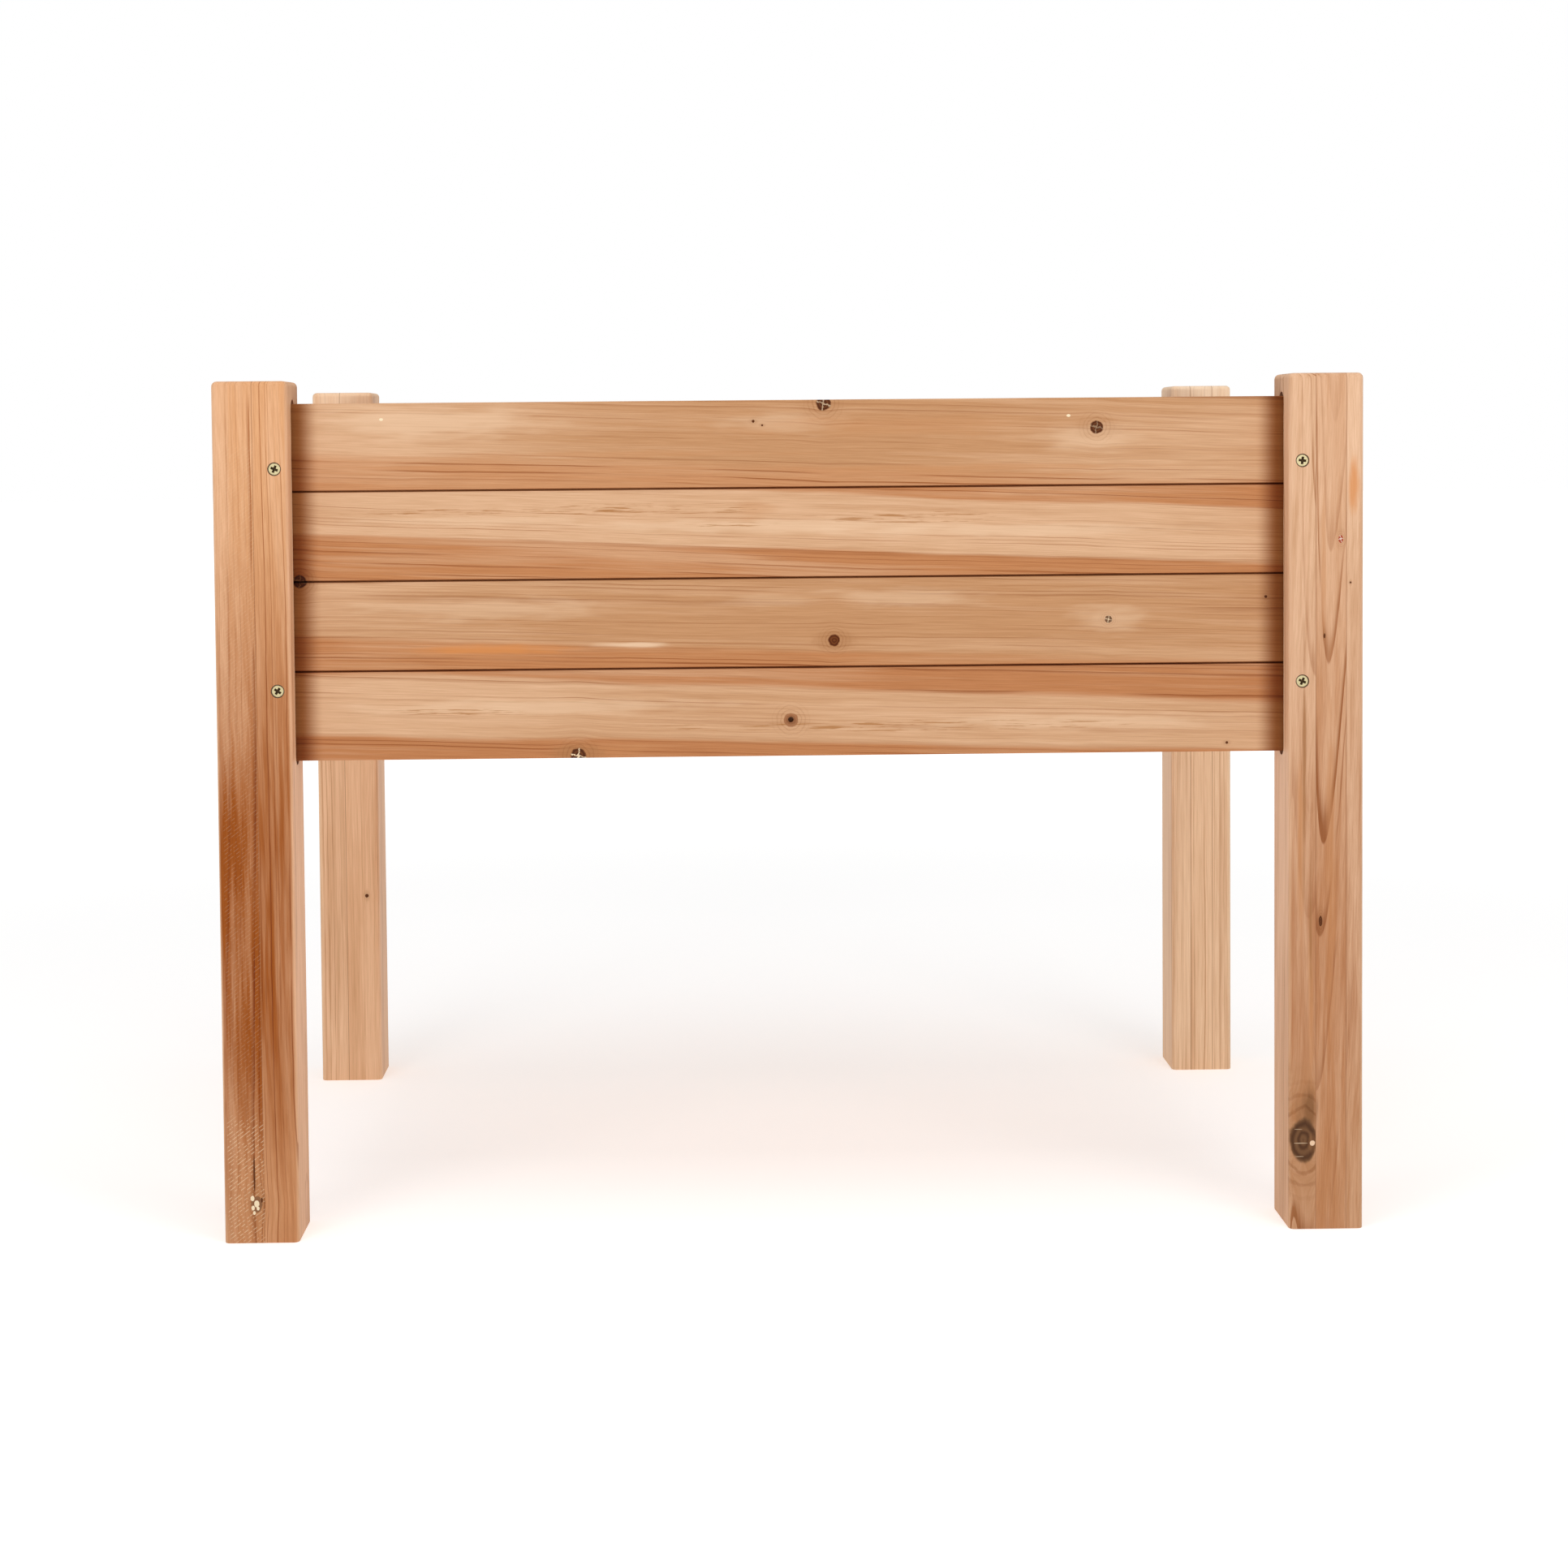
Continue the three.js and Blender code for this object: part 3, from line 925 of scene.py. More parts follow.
def timber_material(name, axes, origin, look):
    """Bare planed softwood. look says where this piece's heart, knots, flecks and rings lie."""
    material, graph, shader = start_material(name)
    place = piece_coordinates(graph, axes, origin)
    palette = colours()
    along, across, _ = graph.parts(place)

    strips = None
    contrast = look.get("contrast", 0.9)
    if "joints" in look:
        first, second = look["joints"]
        strips = graph.group("Glued strips", Vector=place, First_Joint=first, Second_Joint=second)
    if "third_contrast" in look:
        contrast = graph.times_plus(strips["Third"], look["third_contrast"] - contrast, contrast)

    bend = 0.0
    knots = find_knots(graph, place, look)
    for _, found in knots:
        bend = graph.plus(bend, found["Bend"])
    grain = graph.group(
        "Grain",
        Vector=strips["Vector"] if strips else place,
        Pith=look["pith"],
        Lean=look.get("lean", (0, 0, 0)),
        Ring_Width=look.get("ring", 0.0045),
        Waver=look.get("waver", 0.008),
        Bend=bend,
        Seed=look["seed"],
    )
    timber = graph.group(
        "Timber",
        Sapwood=rgba(look.get("sapwood", palette.sapwood)),
        Tan=rgba(palette.tan),
        Heartwood=rgba(look.get("heartwood", palette.heartwood)),
        Deep=rgba(look.get("deep_colour", palette.deep)),
        Tan_Share=tan_and_shade_share(graph, along, look),
        Heart=heart_share(graph, place, strips, look),
        Deep_Share=deep_and_shade_share(graph, place, strips, look),
        Latewood=grain["Latewood"],
        Fibre=grain["Fibre"],
        Streak=grain["Streak"],
        Cloud=grain["Cloud"],
        Ring_Contrast=contrast,
    )
    colour = timber["Colour"]
    height = timber["Height"]

    for mask, spec in marks_of(graph, place, look, "Soft patch", "Patch", look.get("patches", ())):
        _, _, _, strength, tone = spec
        colour = graph.mix(graph.times(mask, strength), colour, rgba(tone))
    for mask, _ in marks_of(graph, place, look, "Flecks", "Flecks", look.get("flecks", ())):
        colour = graph.mix(graph.times(mask, 0.8), colour, FLECK_COLOUR)
    if strips:
        colour = graph.mix(graph.times(strips["Glue"], 0.6), colour, GLUE_COLOUR)
        height = graph.minus(height, graph.times(strips["Glue"], 0.3))
    for spec in look.get("saw_marks", ()):
        marks = saw_share(graph, place, look, spec)
        strength = spec[-1]
        colour = graph.mix(graph.times(marks, strength), colour, rgba(palette.filler))
        height = graph.times_plus(marks, strength, height)
    for spec, found in knots:
        colour = graph.group(
            "Knot stain",
            Colour=colour,
            Core=found["Core"],
            Rings=found["Rings"],
            Halo=found["Halo"],
            Crack=found["Crack"],
            Waves=found["Waves"],
            Wave_Strength=spec.get("waves", 0.3),
            Halo_Strength=spec.get("halo", 0.25),
            Core_Colour=rgba(spec.get("colour", palette.knot)),
            Ring_Colour=rgba(spec.get("ring_colour", (0.22, 0.072, 0.018))),
            Crack_Colour=rgba(spec.get("crack_colour", palette.filler)),
        )["Colour"]
    # Painted shade at the board's ends beside the posts and along its joints.
    for distance, near, far, tone in painted_shade_of(graph, along, across, look):
        shade = {"Colour": colour, "Distance": distance, "Near": near, "Far": far, "Tone": tone}
        colour = graph.group("Painted corner shade", **shade)["Colour"]

    graph.join(shader.inputs["Base Color"], colour)
    graph.join(shader.inputs["Roughness"], timber["Roughness"])
    shader.inputs["Specular IOR Level"].default_value = 0.14
    add_bump(graph, shader, height, strength=0.25, distance=0.0003)
    return material


def add_bump(graph, shader, height, strength, distance):
    bump = graph.add("ShaderNodeBump")
    bump.inputs["Strength"].default_value = strength
    bump.inputs["Distance"].default_value = distance
    graph.join(bump.inputs["Height"], height)
    graph.join(shader.inputs["Normal"], bump.outputs["Normal"])


def zinc_material():
    """Yellow-passivated plating with faint tumbling marks and a shift of tint."""
    material, graph, shader = start_material("screw_zinc")
    source = graph.add("ShaderNodeTexCoord").outputs["Object"]
    tint = graph.noise(source, scale=420.0, detail=2.0)
    speck = graph.noise(source, scale=2600.0, detail=2.0)
    zinc = rgba(colours().zinc)
    colour = graph.mix(graph.step(tint, 0.35, 0.7), zinc, (0.34, 0.295, 0.16, 1))
    graph.join(shader.inputs["Base Color"], colour)
    shader.inputs["Metallic"].default_value = 1.0
    graph.join(shader.inputs["Roughness"], graph.times_plus(speck, 0.2, 0.22))
    add_bump(graph, shader, speck, strength=0.15, distance=0.0001)
    return material


def recess_shade_material():
    """Painted shade inside a screw's cross recess: dark, mottled brown."""
    material, graph, shader = start_material("screw_recess_shade")
    source = graph.add("ShaderNodeTexCoord").outputs["Object"]
    shade_mottle = graph.step(graph.noise(source, scale=1400.0, detail=2.0), 0.3, 0.7)
    colour = graph.mix(shade_mottle, (0.045, 0.024, 0.008, 1), (0.12, 0.070, 0.028, 1))
    graph.join(shader.inputs["Base Color"], colour)
    shader.inputs["Roughness"].default_value = 0.7
    shader.inputs["Specular IOR Level"].default_value = 0.2
    return material


def crushed_wood_and_shade_material():
    """Torn wood inside the screw holes, darkened further as painted shade."""
    material, graph, shader = start_material("crushed_wood_and_shade")
    source = graph.add("ShaderNodeTexCoord").outputs["Object"]
    torn = graph.step(graph.noise(source, scale=900.0, detail=3.0), 0.3, 0.7)
    colour = graph.mix(torn, (0.035, 0.016, 0.007, 1), (0.16, 0.075, 0.032, 1))
    graph.join(shader.inputs["Base Color"], colour)
    shader.inputs["Roughness"].default_value = 0.85
    return material


# ---------- what each piece of timber looks like ----------


def knot(along, across, radius, **more):
    return {"at": (along, across), "radius": radius, **more}


def slit(along, across, half_width, **more):
    """A thin pale crack across the grain."""
    pale = (0.50, 0.35, 0.22)
    look = {"colour": pale, "ring_colour": pale, "cracks": 0.0, "halo": 0.0, "waves": 0.0, "bending": 0.0}
    return knot(along, across, half_width, stretch=0.07, **look, **more)


def chip(along, across, radius=0.0012):
    """A small pale dent in the face, or a crumb of filler."""
    pale = (0.90, 0.74, 0.50)
    look = {"colour": pale, "ring_colour": pale, "halo": 0.0, "waves": 0.0, "bending": 0.0, "cracks": 0.0}
    return knot(along, across, radius, stretch=1.4, **look)


# The boards of the front wall, from the top one down. Lengths are in metres from the middle of
# the board's lower edge. A heart is (height, slope, 1 for the wood below the line or -1 above).
PALE = (0.82, 0.57, 0.375)
WARM = (0.56, 0.25, 0.10)
ORANGE = (0.66, 0.25, 0.07)
# tan is the tan share at the left end, middle and right end; the darker middle is partly painted shade.
FRONT_BOARDS = {
    1: {
        "seed": 1.0,
        "pith": (0, -0.120, -0.05),
        "lean": (0, -0.03, 0),
        "tan": (0.10, 1.0, 0.50),
        "hearts": [(0.017, -0.034, 1)],
        "softness": 0.006,
        "heartwood": (0.60, 0.285, 0.13),
        "knots": [
            knot(0.031, 0.074, 0.0066, cracks=0.5),
            knot(0.274, 0.051, 0.0058, cracks=0.25),
            knot(-0.0315, 0.0586, 0.0013, cracks=0.0),
            knot(-0.0236, 0.0550, 0.0009, cracks=0.0),
            chip(0.249, 0.0614),
            chip(-0.361, 0.0628),
        ],
        "patches": [
            ((-0.32, 0.060), 0.14, 0.022, 0.45, PALE),
            ((-0.01, 0.057), 0.07, 0.014, 0.35, PALE),
            ((0.27, 0.042), 0.06, 0.018, 0.35, PALE),
            ((0.09, 0.054), 0.18, 0.012, 0.30, WARM),
            ((0.18, 0.016), 0.22, 0.004, 0.45, WARM),
            ((-0.15, 0.030), 0.20, 0.004, 0.35, WARM),
        ],
    },
    2: {
        "seed": 2.0,
        "pith": (0, -0.160, -0.03),
        "lean": (0, -0.035, 0),
        "tan": (0.0, 0.10, 0.10),
        "hearts": [(0.0245, -0.040, 1), (0.0755, -0.045, -1)],
        "softness": 0.0018,
        "knots": [knot(-0.435, 0.0003, 0.0055, cracks=0.3)],
        "patches": [
            ((-0.02, 0.045), 0.22, 0.009, 0.45, PALE),
            ((-0.28, 0.052), 0.14, 0.006, 0.35, PALE),
            ((0.20, 0.040), 0.20, 0.008, 0.45, PALE),
            ((-0.03, 0.060), 0.025, 0.012, 0.30, WARM),
        ],
        "flecks": [
            ((-0.13, 0.061), 0.22, 0.010),
            ((-0.30, 0.060), 0.15, 0.006),
            ((0.12, 0.052), 0.18, 0.009),
            ((-0.05, 0.047), 0.07, 0.004),
        ],
    },
    3: {
        "seed": 3.0,
        "pith": (0, -0.110, -0.045),
        "lean": (0, -0.025, 0),
        "tan": (0.40, 1.0, 0.85),
        "hearts": [(0.014, -0.034, 1)],
        "softness": 0.004,
        "knots": [
            knot(
                0.039,
                0.023,
                0.0052,
                colour=(0.085, 0.016, 0.002),
                ring_colour=(0.26, 0.075, 0.012),
                cracks=0.0,
                halo=0.5,
            ),
            knot(0.284, 0.0395, 0.0032, colour=(0.16, 0.09, 0.05), halo=0.0),
            knot(-0.435, 0.0800, 0.0060, cracks=0.3),
            knot(0.425, 0.0585, 0.0013, cracks=0.0),
        ],
        "patches": [
            ((-0.27, 0.053), 0.14, 0.014, 0.32, PALE),
            ((0.10, 0.061), 0.09, 0.012, 0.34, PALE),
            ((-0.02, 0.058), 0.06, 0.009, 0.22, PALE),
            ((0.284, 0.0395), 0.045, 0.016, 0.34, PALE),
            ((-0.27, 0.018), 0.09, 0.006, 0.75, ORANGE),
            ((-0.14, 0.0205), 0.050, 0.0034, 0.80, PALE),
        ],
    },
    4: {
        "seed": 4.0,
        "pith": (0, -0.140, -0.04),
        "lean": (0, -0.03, 0),
        "tan": (0.05, 0.40, 0.15),
        "hearts": [(0.0115, -0.025, 1), (0.061, -0.038, -1)],
        "softness": 0.003,
        "heartwood": (0.53, 0.222, 0.088),
        "knots": [
            knot(-0.190, 0.002, 0.0068, halo=0.7),
            knot(0.390, 0.008, 0.0012, cracks=0.0),
            # Not a knot: a brown ring in the countersink round the centre hole, partly cut wood and partly
            # painted shade.
            knot(
                0.0,
                0.03215,
                0.0062,
                colour=(0.42, 0.19, 0.085),
                ring_colour=(0.30, 0.12, 0.05),
                cracks=0.0,
                halo=0.1,
                bending=0.0,
            ),
        ],
        "patches": [
            ((-0.22, 0.046), 0.20, 0.009, 0.45, PALE),
            ((0.26, 0.028), 0.18, 0.009, 0.40, PALE),
            ((-0.16, 0.008), 0.06, 0.008, 0.50, WARM),
        ],
        "flecks": [((0.10, 0.026), 0.38, 0.009), ((-0.30, 0.042), 0.12, 0.006)],
    },
}


def random_board_look(seed, length):
    """A look for a board that no one has described: its own heart, and from none to three knots."""
    draw = random.Random(seed)
    side = draw.choice((1, -1))
    edge = draw.uniform(0.012, 0.040) if side == 1 else draw.uniform(0.045, 0.070)
    look = {
        "seed": float(seed),
        "pith": (0, draw.uniform(-0.16, -0.07), draw.uniform(-0.06, -0.02)),
        "lean": (0, draw.uniform(-0.04, 0.04), 0),
        "tan": (draw.uniform(0.1, 0.7), draw.uniform(0.1, 0.9), draw.uniform(0.1, 0.7)),
        "hearts": [(edge, draw.uniform(-0.04, 0.04), side)],
        "knots": [],
        "flecks": [],
    }
    for _ in range(draw.randint(0, 3)):
        along = draw.uniform(-0.45, 0.45) * length
        look["knots"].append(knot(along, draw.uniform(0.008, 0.070), draw.uniform(0.0022, 0.0070)))
    if draw.random() < 0.6:
        along = draw.uniform(-0.3, 0.3) * length
        look["flecks"].append(((along, draw.uniform(0.02, 0.06)), draw.uniform(0.1, 0.25), 0.010))
    return look


# The posts. A place is (height above the floor, distance across the front face from its left edge).
# Their tan share is smaller near the top, partly as painted light on the upper posts.
POST_LOOKS = {
    "front_left": {
        "seed": 11.0,
        "pith": (0, -0.030, 0.060),
        "lean": (0, -0.016, -0.03),
        "joints": (0.0355, 0.2),
        "strip_hearts": (0.55, 0.60, 0.0),
        "hearts": [(0.0105, 0.004, -1)],
        "sapwood": (0.85, 0.52, 0.32),
        "heartwood": (0.77, 0.405, 0.20),
        "tan": (0.2, 0.3, 0.1),
        # Darker towards the foot: partly heartwood, partly painted shade.
        "deep": (0.32, 0.73, 1.0),
        "deep_colour": (0.34, 0.083, 0.006),
        "knots": [
            knot(
                0.0350,
                0.0290,
                0.0048,
                stretch=1.5,
                cracks=0.0,
                bending=0.5,
                colour=(0.26, 0.12, 0.055),
                waves=0.2,
            ),
            chip(0.0402, 0.0252, 0.0017),
            chip(0.0353, 0.0289, 0.0022),
            chip(0.0316, 0.0257, 0.0015),
            chip(0.0312, 0.0301, 0.0013),
            chip(0.0272, 0.0267, 0.0012),
            knot(0.0620, 0.0272, 0.0008, stretch=20.0, cracks=0.0, bending=0.0, waves=0.0, halo=0.0),
            knot(0.0385, 0.0335, 0.0009, stretch=2.5, cracks=0.0, bending=0.0, waves=0.0, halo=0.0),
        ],
        "saw_marks": [(0.008, 0.100, 0.005, 0.035, 0.65), (0.12, 0.70, 0.006, 0.035, 0.13)],
        "ring": 0.0040,
        "waver": 0.012,
        "contrast": 1.0,
    },
    "front_right": {
        "seed": 12.0,
        "pith": (0, 0.016, 0.052),
        "lean": (0, 0.020, -0.028),
        "joints": (0.0235, 0.0505),
        "strip_hearts": (0.10, 0.40, 0.0),
        "third_contrast": 0.25,
        "sapwood": (0.82, 0.53, 0.345),
        "tan": (0.5, 0.5, 0.1),
        # Darker towards the foot: partly heartwood, partly painted shade.
        "deep": (0.20, 0.74, 0.52),
        "knots": [
            knot(
                0.080,
                0.0125,
                0.0120,
                stretch=1.65,
                depth=0.006,
                limit=0.0235,
                bending=2.2,
                cracks=0.0,
                halo=0.45,
                waves=0.45,
                colour=(0.085, 0.033, 0.012),
                ring_colour=(0.27, 0.130, 0.055),
            ),
            slit(0.0775, 0.0100, 0.0060, limit=0.0235),
            slit(0.0655, 0.0090, 0.0040, limit=0.0235),
            slit(0.0900, 0.0080, 0.0035, limit=0.0235),
            knot(
                0.0775,
                0.0205,
                0.0023,
                limit=0.0235,
                colour=PALE,
                ring_colour=PALE,
                cracks=0.0,
                bending=0.0,
                waves=0.0,
            ),
            knot(0.2763, 0.0277, 0.0016, stretch=3.0, cracks=0.0),
            knot(0.530, 0.031, 0.0009, stretch=2.5, cracks=0.0),
            knot(0.577, 0.054, 0.0009, cracks=0.0),
            knot(
                0.6155,
                0.0454,
                0.0022,
                stretch=1.5,
                colour=(0.45, 0.08, 0.04),
                crack_colour=(0.85, 0.7, 0.6),
            ),
        ],
        "patches": [
            ((0.110, 0.0165), 0.026, 0.011, 1.0, (0.15, 0.060, 0.022)),
            ((0.661, 0.0575), 0.030, 0.006, 0.75, ORANGE),
            ((0.35, 0.010), 0.12, 0.004, 0.60, WARM),
            ((0.20, 0.019), 0.10, 0.003, 0.60, WARM),
            ((0.42, 0.0130), 0.15, 0.0022, 0.80, (0.36, 0.155, 0.055)),
            ((0.27, 0.0190), 0.08, 0.0018, 0.80, (0.36, 0.155, 0.055)),
            ((0.32, 0.036), 0.22, 0.006, 0.40, WARM),
            ((0.60, 0.030), 0.10, 0.003, 0.45, WARM),
        ],
        "ring": 0.0036,
        "waver": 0.016,
        "contrast": 1.3,
    },
    "rear_left": {
        "seed": 13.0,
        "pith": (0, -0.090, -0.04),
        "joints": (0.030, 0.2),
        "strip_hearts": (0.10, 0.30, 0.0),
        "tan": (0.2, 0.2, 0.1),
        "sapwood": (0.93, 0.61, 0.39),
        "heartwood": (0.82, 0.44, 0.22),
        "knots": [knot(0.206, 0.0522, 0.0020, cracks=0.0)],
        # Painted light: a pale patch on the head of the post, where it shows above the boards.
        "patches": [((0.765, 0.033), 0.03, 0.06, 0.5, (1.0, 0.74, 0.52))],
    },
    "rear_right": {
        "seed": 14.0,
        "pith": (0, 0.120, -0.04),
        "joints": (0.021, 0.045),
        "strip_hearts": (0.0, 0.15, 0.05),
        "tan": (0.1, 0.1, 0.0),
        "sapwood": (0.95, 0.67, 0.445),
        "heartwood": (0.84, 0.48, 0.25),
        # Painted light: a pale patch on the head of the post, where it shows above the boards.
        "patches": [((0.765, 0.033), 0.03, 0.06, 0.55, (1.0, 0.80, 0.60))],
    },
}

X_AXIS, Y_AXIS, Z_AXIS = (1, 0, 0), (0, 1, 0), (0, 0, 1)
BACK_X, BACK_Y = (-1, 0, 0), (0, -1, 0)
WALL_AXES = {
    "front": (X_AXIS, Z_AXIS, BACK_Y),
    "right": (Y_AXIS, Z_AXIS, X_AXIS),
    "rear": (BACK_X, Z_AXIS, Y_AXIS),
    "left": (BACK_Y, Z_AXIS, BACK_X),
}
WALL_TURNS = {"front": 0, "right": pi / 2, "rear": pi, "left": -pi / 2}


# ---------- operators ----------


class PLANTER_OT_shading(bpy.types.Operator):
    """Make the shared node groups and the materials of the screws and their holes"""

    bl_idname = "planter.shading"
    bl_label = "Shared materials"

    def execute(self, context):
        make_grain_group()
        make_knot_group()
        make_knot_stain_group()
        make_heart_group()
        make_fleck_group()
        make_patch_group()
        make_saw_group()
        make_strip_group()
        make_timber_group()
        make_shade_group()
        zinc_material()
        recess_shade_material()
        crushed_wood_and_shade_material()
        return {"FINISHED"}


class PLANTER_OT_posts(bpy.types.Operator):
    """Model the four grooved corner posts"""

    bl_idname = "planter.posts"
    bl_label = "Posts"

    def execute(self, context):
        post = self.make_post()
        for name in POSTS:
            low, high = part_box(f"post_{name}")
            middle = (low + high) / 2
            turn = POSTS.index(name) * pi / 2
            twin = put(copy_of(post, f"corner_post_{name}"), (0, 0, turn), (middle.x, middle.y, 0))
            smooth(twin)
            axes = (Z_AXIS, X_AXIS, Y_AXIS)
            material = timber_material(f"post_timber_{name}", axes, (low.x, low.y, 0), POST_LOOKS[name])
            hand_over(twin, f"post_{name}", material)
        only(post)
        bpy.ops.object.delete()
        return {"FINISHED"}

    def make_post(self):
        """The front left post about its own axis: its grooves open towards +X and +Y."""
        sizes = settings()
        low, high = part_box("post_front_left")
        half = (high.x - low.x) / 2
        height = high.z
        post = add_block("post", (-half, -half, 0), (half, half, height))
        start_edit(post)
        round_edges(post, lambda edge: runs_along(edge, 2), sizes.post_round, 6)
        round_edges(post, lambda edge: all(v.co.z > height - MM for v in edge.verts), sizes.post_top_round, 4)
        round_edges(post, lambda edge: all(v.co.z < 0.01 * MM for v in edge.verts), 0.6 * MM, 2)
        end_edit()
        carve(post, self.groove_cutter(half, 0))
        carve(post, self.groove_cutter(half, pi / 2))
        for cutter in self.screw_cutters(half):
            # The holes' insides get torn wood darkened as painted shade.
            carve(post, cutter, inner="crushed_wood_and_shade")
        return post

    def groove_cutter(self, half, turn):
        """A round-ended groove in the face towards +X, or towards +Y when it is turned."""
        sizes = settings()
        wall_low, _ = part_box("front_board_4")
        _, wall_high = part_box("front_board_1")
        radius = sizes.groove_width / 2
        low = (half - sizes.groove_depth, -radius, wall_low.z - sizes.groove_overrun)
        high = (half + MM, radius, wall_high.z + sizes.groove_overrun)
        cutter = add_block("groove", low, high)
        start_edit(cutter)
        round_edges(cutter, lambda edge: runs_along(edge, 0), radius * 0.999, 12)
        end_edit()
        return put(cutter, (0, 0, turn), (0, 0, 0))

    def screw_cutters(self, half):
        cutters = []
        screw_low, screw_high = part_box("post_screw_front_left_front_upper")
        shank = 2.8 * MM
        mouth = (screw_high.x - screw_low.x) / 2 + 0.8 * MM
        depth = 51 * MM
        profile = [(shank, -depth), (shank, shank - mouth), (mouth, 0), (mouth, MM)]
        for level in ("upper", "lower"):
            low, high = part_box(f"post_screw_front_left_front_{level}")
            post_low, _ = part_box("post_front_left")
            along = (low.x + high.x) / 2 - post_low.x - half
            up = (low.z + high.z) / 2
            front = add_round_cutter("hole", profile)
            cutters.append(put(front, (pi / 2, 0, 0), (along, -half, up)))
            side = add_round_cutter("hole", profile)
            cutters.append(put(side, (0, -pi / 2, 0), (-half, along, up)))
        return cutters


class PLANTER_OT_boards(bpy.types.Operator):
    """Model the sixteen tongue-and-groove boards of the four walls"""

    bl_idname = "planter.boards"
    bl_label = "Wall boards"

    def execute(self, context):
        for side in WALLS:
            for number in range(1, BOARDS_PER_WALL + 1):
                self.make_board(side, number)
        return {"FINISHED"}

    def make_board(self, side, number):
        node = f"{side}_board_{number}"
        low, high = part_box(node)
        middle = (low + high) / 2
        is_long = side in ("front", "rear")
        length = (high.x - low.x) if is_long else (high.y - low.y)
        board = self.board_shape(number, length, low.z, high.z)
        if is_long and number == BOARDS_PER_WALL:
            carve(board, self.centre_hole_cutter())
        put(board, (0, 0, WALL_TURNS[side]), (middle.x, middle.y, 0))
        board.name = f"wall_board_{side}_{number}"
        board.data.name = board.name
        smooth(board)

        outer = {"front": low.y, "rear": high.y, "left": low.x, "right": high.x}[side]
        origin = Vector((0, outer, low.z)) if is_long else Vector((outer, 0, low.z))
        if side == "front":
            look = dict(FRONT_BOARDS[number])
        else:
            look = random_board_look(20 + 10 * WALLS.index(side) + number, length)
        # Painted shade darkens each end of the board towards where it goes into its post's groove.
        look["corner_at"] = length / 2 - settings().groove_depth + 1.5 * MM
        look["joint_below"] = number < BOARDS_PER_WALL
        if number > 1:
            look["joint_above"] = high.z - low.z - settings().tongue_height
        material = timber_material(f"board_timber_{side}_{number}", WALL_AXES[side], origin, look)
        hand_over(board, node, material)

    def board_shape(self, number, length, low, high):
        """One board about the middle of its thickness, along X, with its outer face towards -Y."""
        sizes = settings()
        is_top = number == 1
        half = BOARD_HALF
        shoulder = high if is_top else high - sizes.tongue_height
        board = add_block("board", (-length / 2, -half, low), (length / 2, half, shoulder))
        start_edit(board)
        for offset in (-sizes.tongue / 2, sizes.tongue / 2):
            bpy.ops.mesh.select_all(action="SELECT")
            bpy.ops.mesh.bisect(plane_co=(0, offset, 0), plane_no=(0, 1, 0))

        def is_tongue(face):
            spot = face.calc_center_median()
            return face.normal.z > 0.9 and abs(spot.y) < sizes.tongue / 2 and spot.z > shoulder - MM

        if not is_top:
            pick(board, "FACE", is_tongue)
            bpy.ops.mesh.extrude_region_move(TRANSFORM_OT_translate={"value": (0, 0, sizes.tongue_height)})
        end_edit()
        self.ease_edges(board, half, low, shoulder, is_top)
        slot = sizes.tongue / 2 + 0.3 * MM
        top = low + sizes.tongue_height + 0.5 * MM
        carve(board, add_block("slot", (-length, -slot, low - MM), (length, slot, top)))
        return board

    def ease_edges(self, board, half, low, shoulder, is_top):
        """A tall soft chamfer above, a small one below, and softened arrises."""
        start_edit(board)
        drop = 0.6 * MM if is_top else 3.2 * MM
        draw_in = 0.6 * MM if is_top else 1.0 * MM
        rise = 1.2 * MM
        for height in (shoulder - drop, low + rise):
            bpy.ops.mesh.select_all(action="SELECT")
            bpy.ops.mesh.bisect(plane_co=(0, 0, height), plane_no=(0, 0, 1))

        def on_outer_edge(edge, height):
            spot = middle_of(edge)
            return runs_along(edge, 0) and spot.y < 0.01 * MM - half and abs(spot.z - height) < 0.01 * MM

        pick(board, "EDGE", lambda edge: on_outer_edge(edge, shoulder))
        bpy.ops.transform.translate(value=(0, draw_in, 0))
        pick(board, "EDGE", lambda edge: on_outer_edge(edge, low))
        bpy.ops.transform.translate(value=(0, 1.0 * MM, 0))
        arris = settings().arris

        def soft(edge):
            spot = middle_of(edge)
            if not runs_along(edge, 0) or spot.y > -half + 1.5 * MM:
                return False
            return edge.calc_face_angle(0) > radians(8)

        round_edges(board, soft, arris * 0.6, 3)
        end_edit()

    def centre_hole_cutter(self):
        """The open countersunk hole that meets the end of the centre bearer."""
        low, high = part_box("centre_bearer")
        hole, mouth = 2.5 * MM, 6 * MM
        profile = [(hole, -14 * MM), (hole, hole - mouth), (mouth, 0), (mouth, MM)]
        cutter = add_round_cutter("hole", profile)
        return put(cutter, (pi / 2, 0, 0), (0, -BOARD_HALF, (low.z + high.z) / 2))


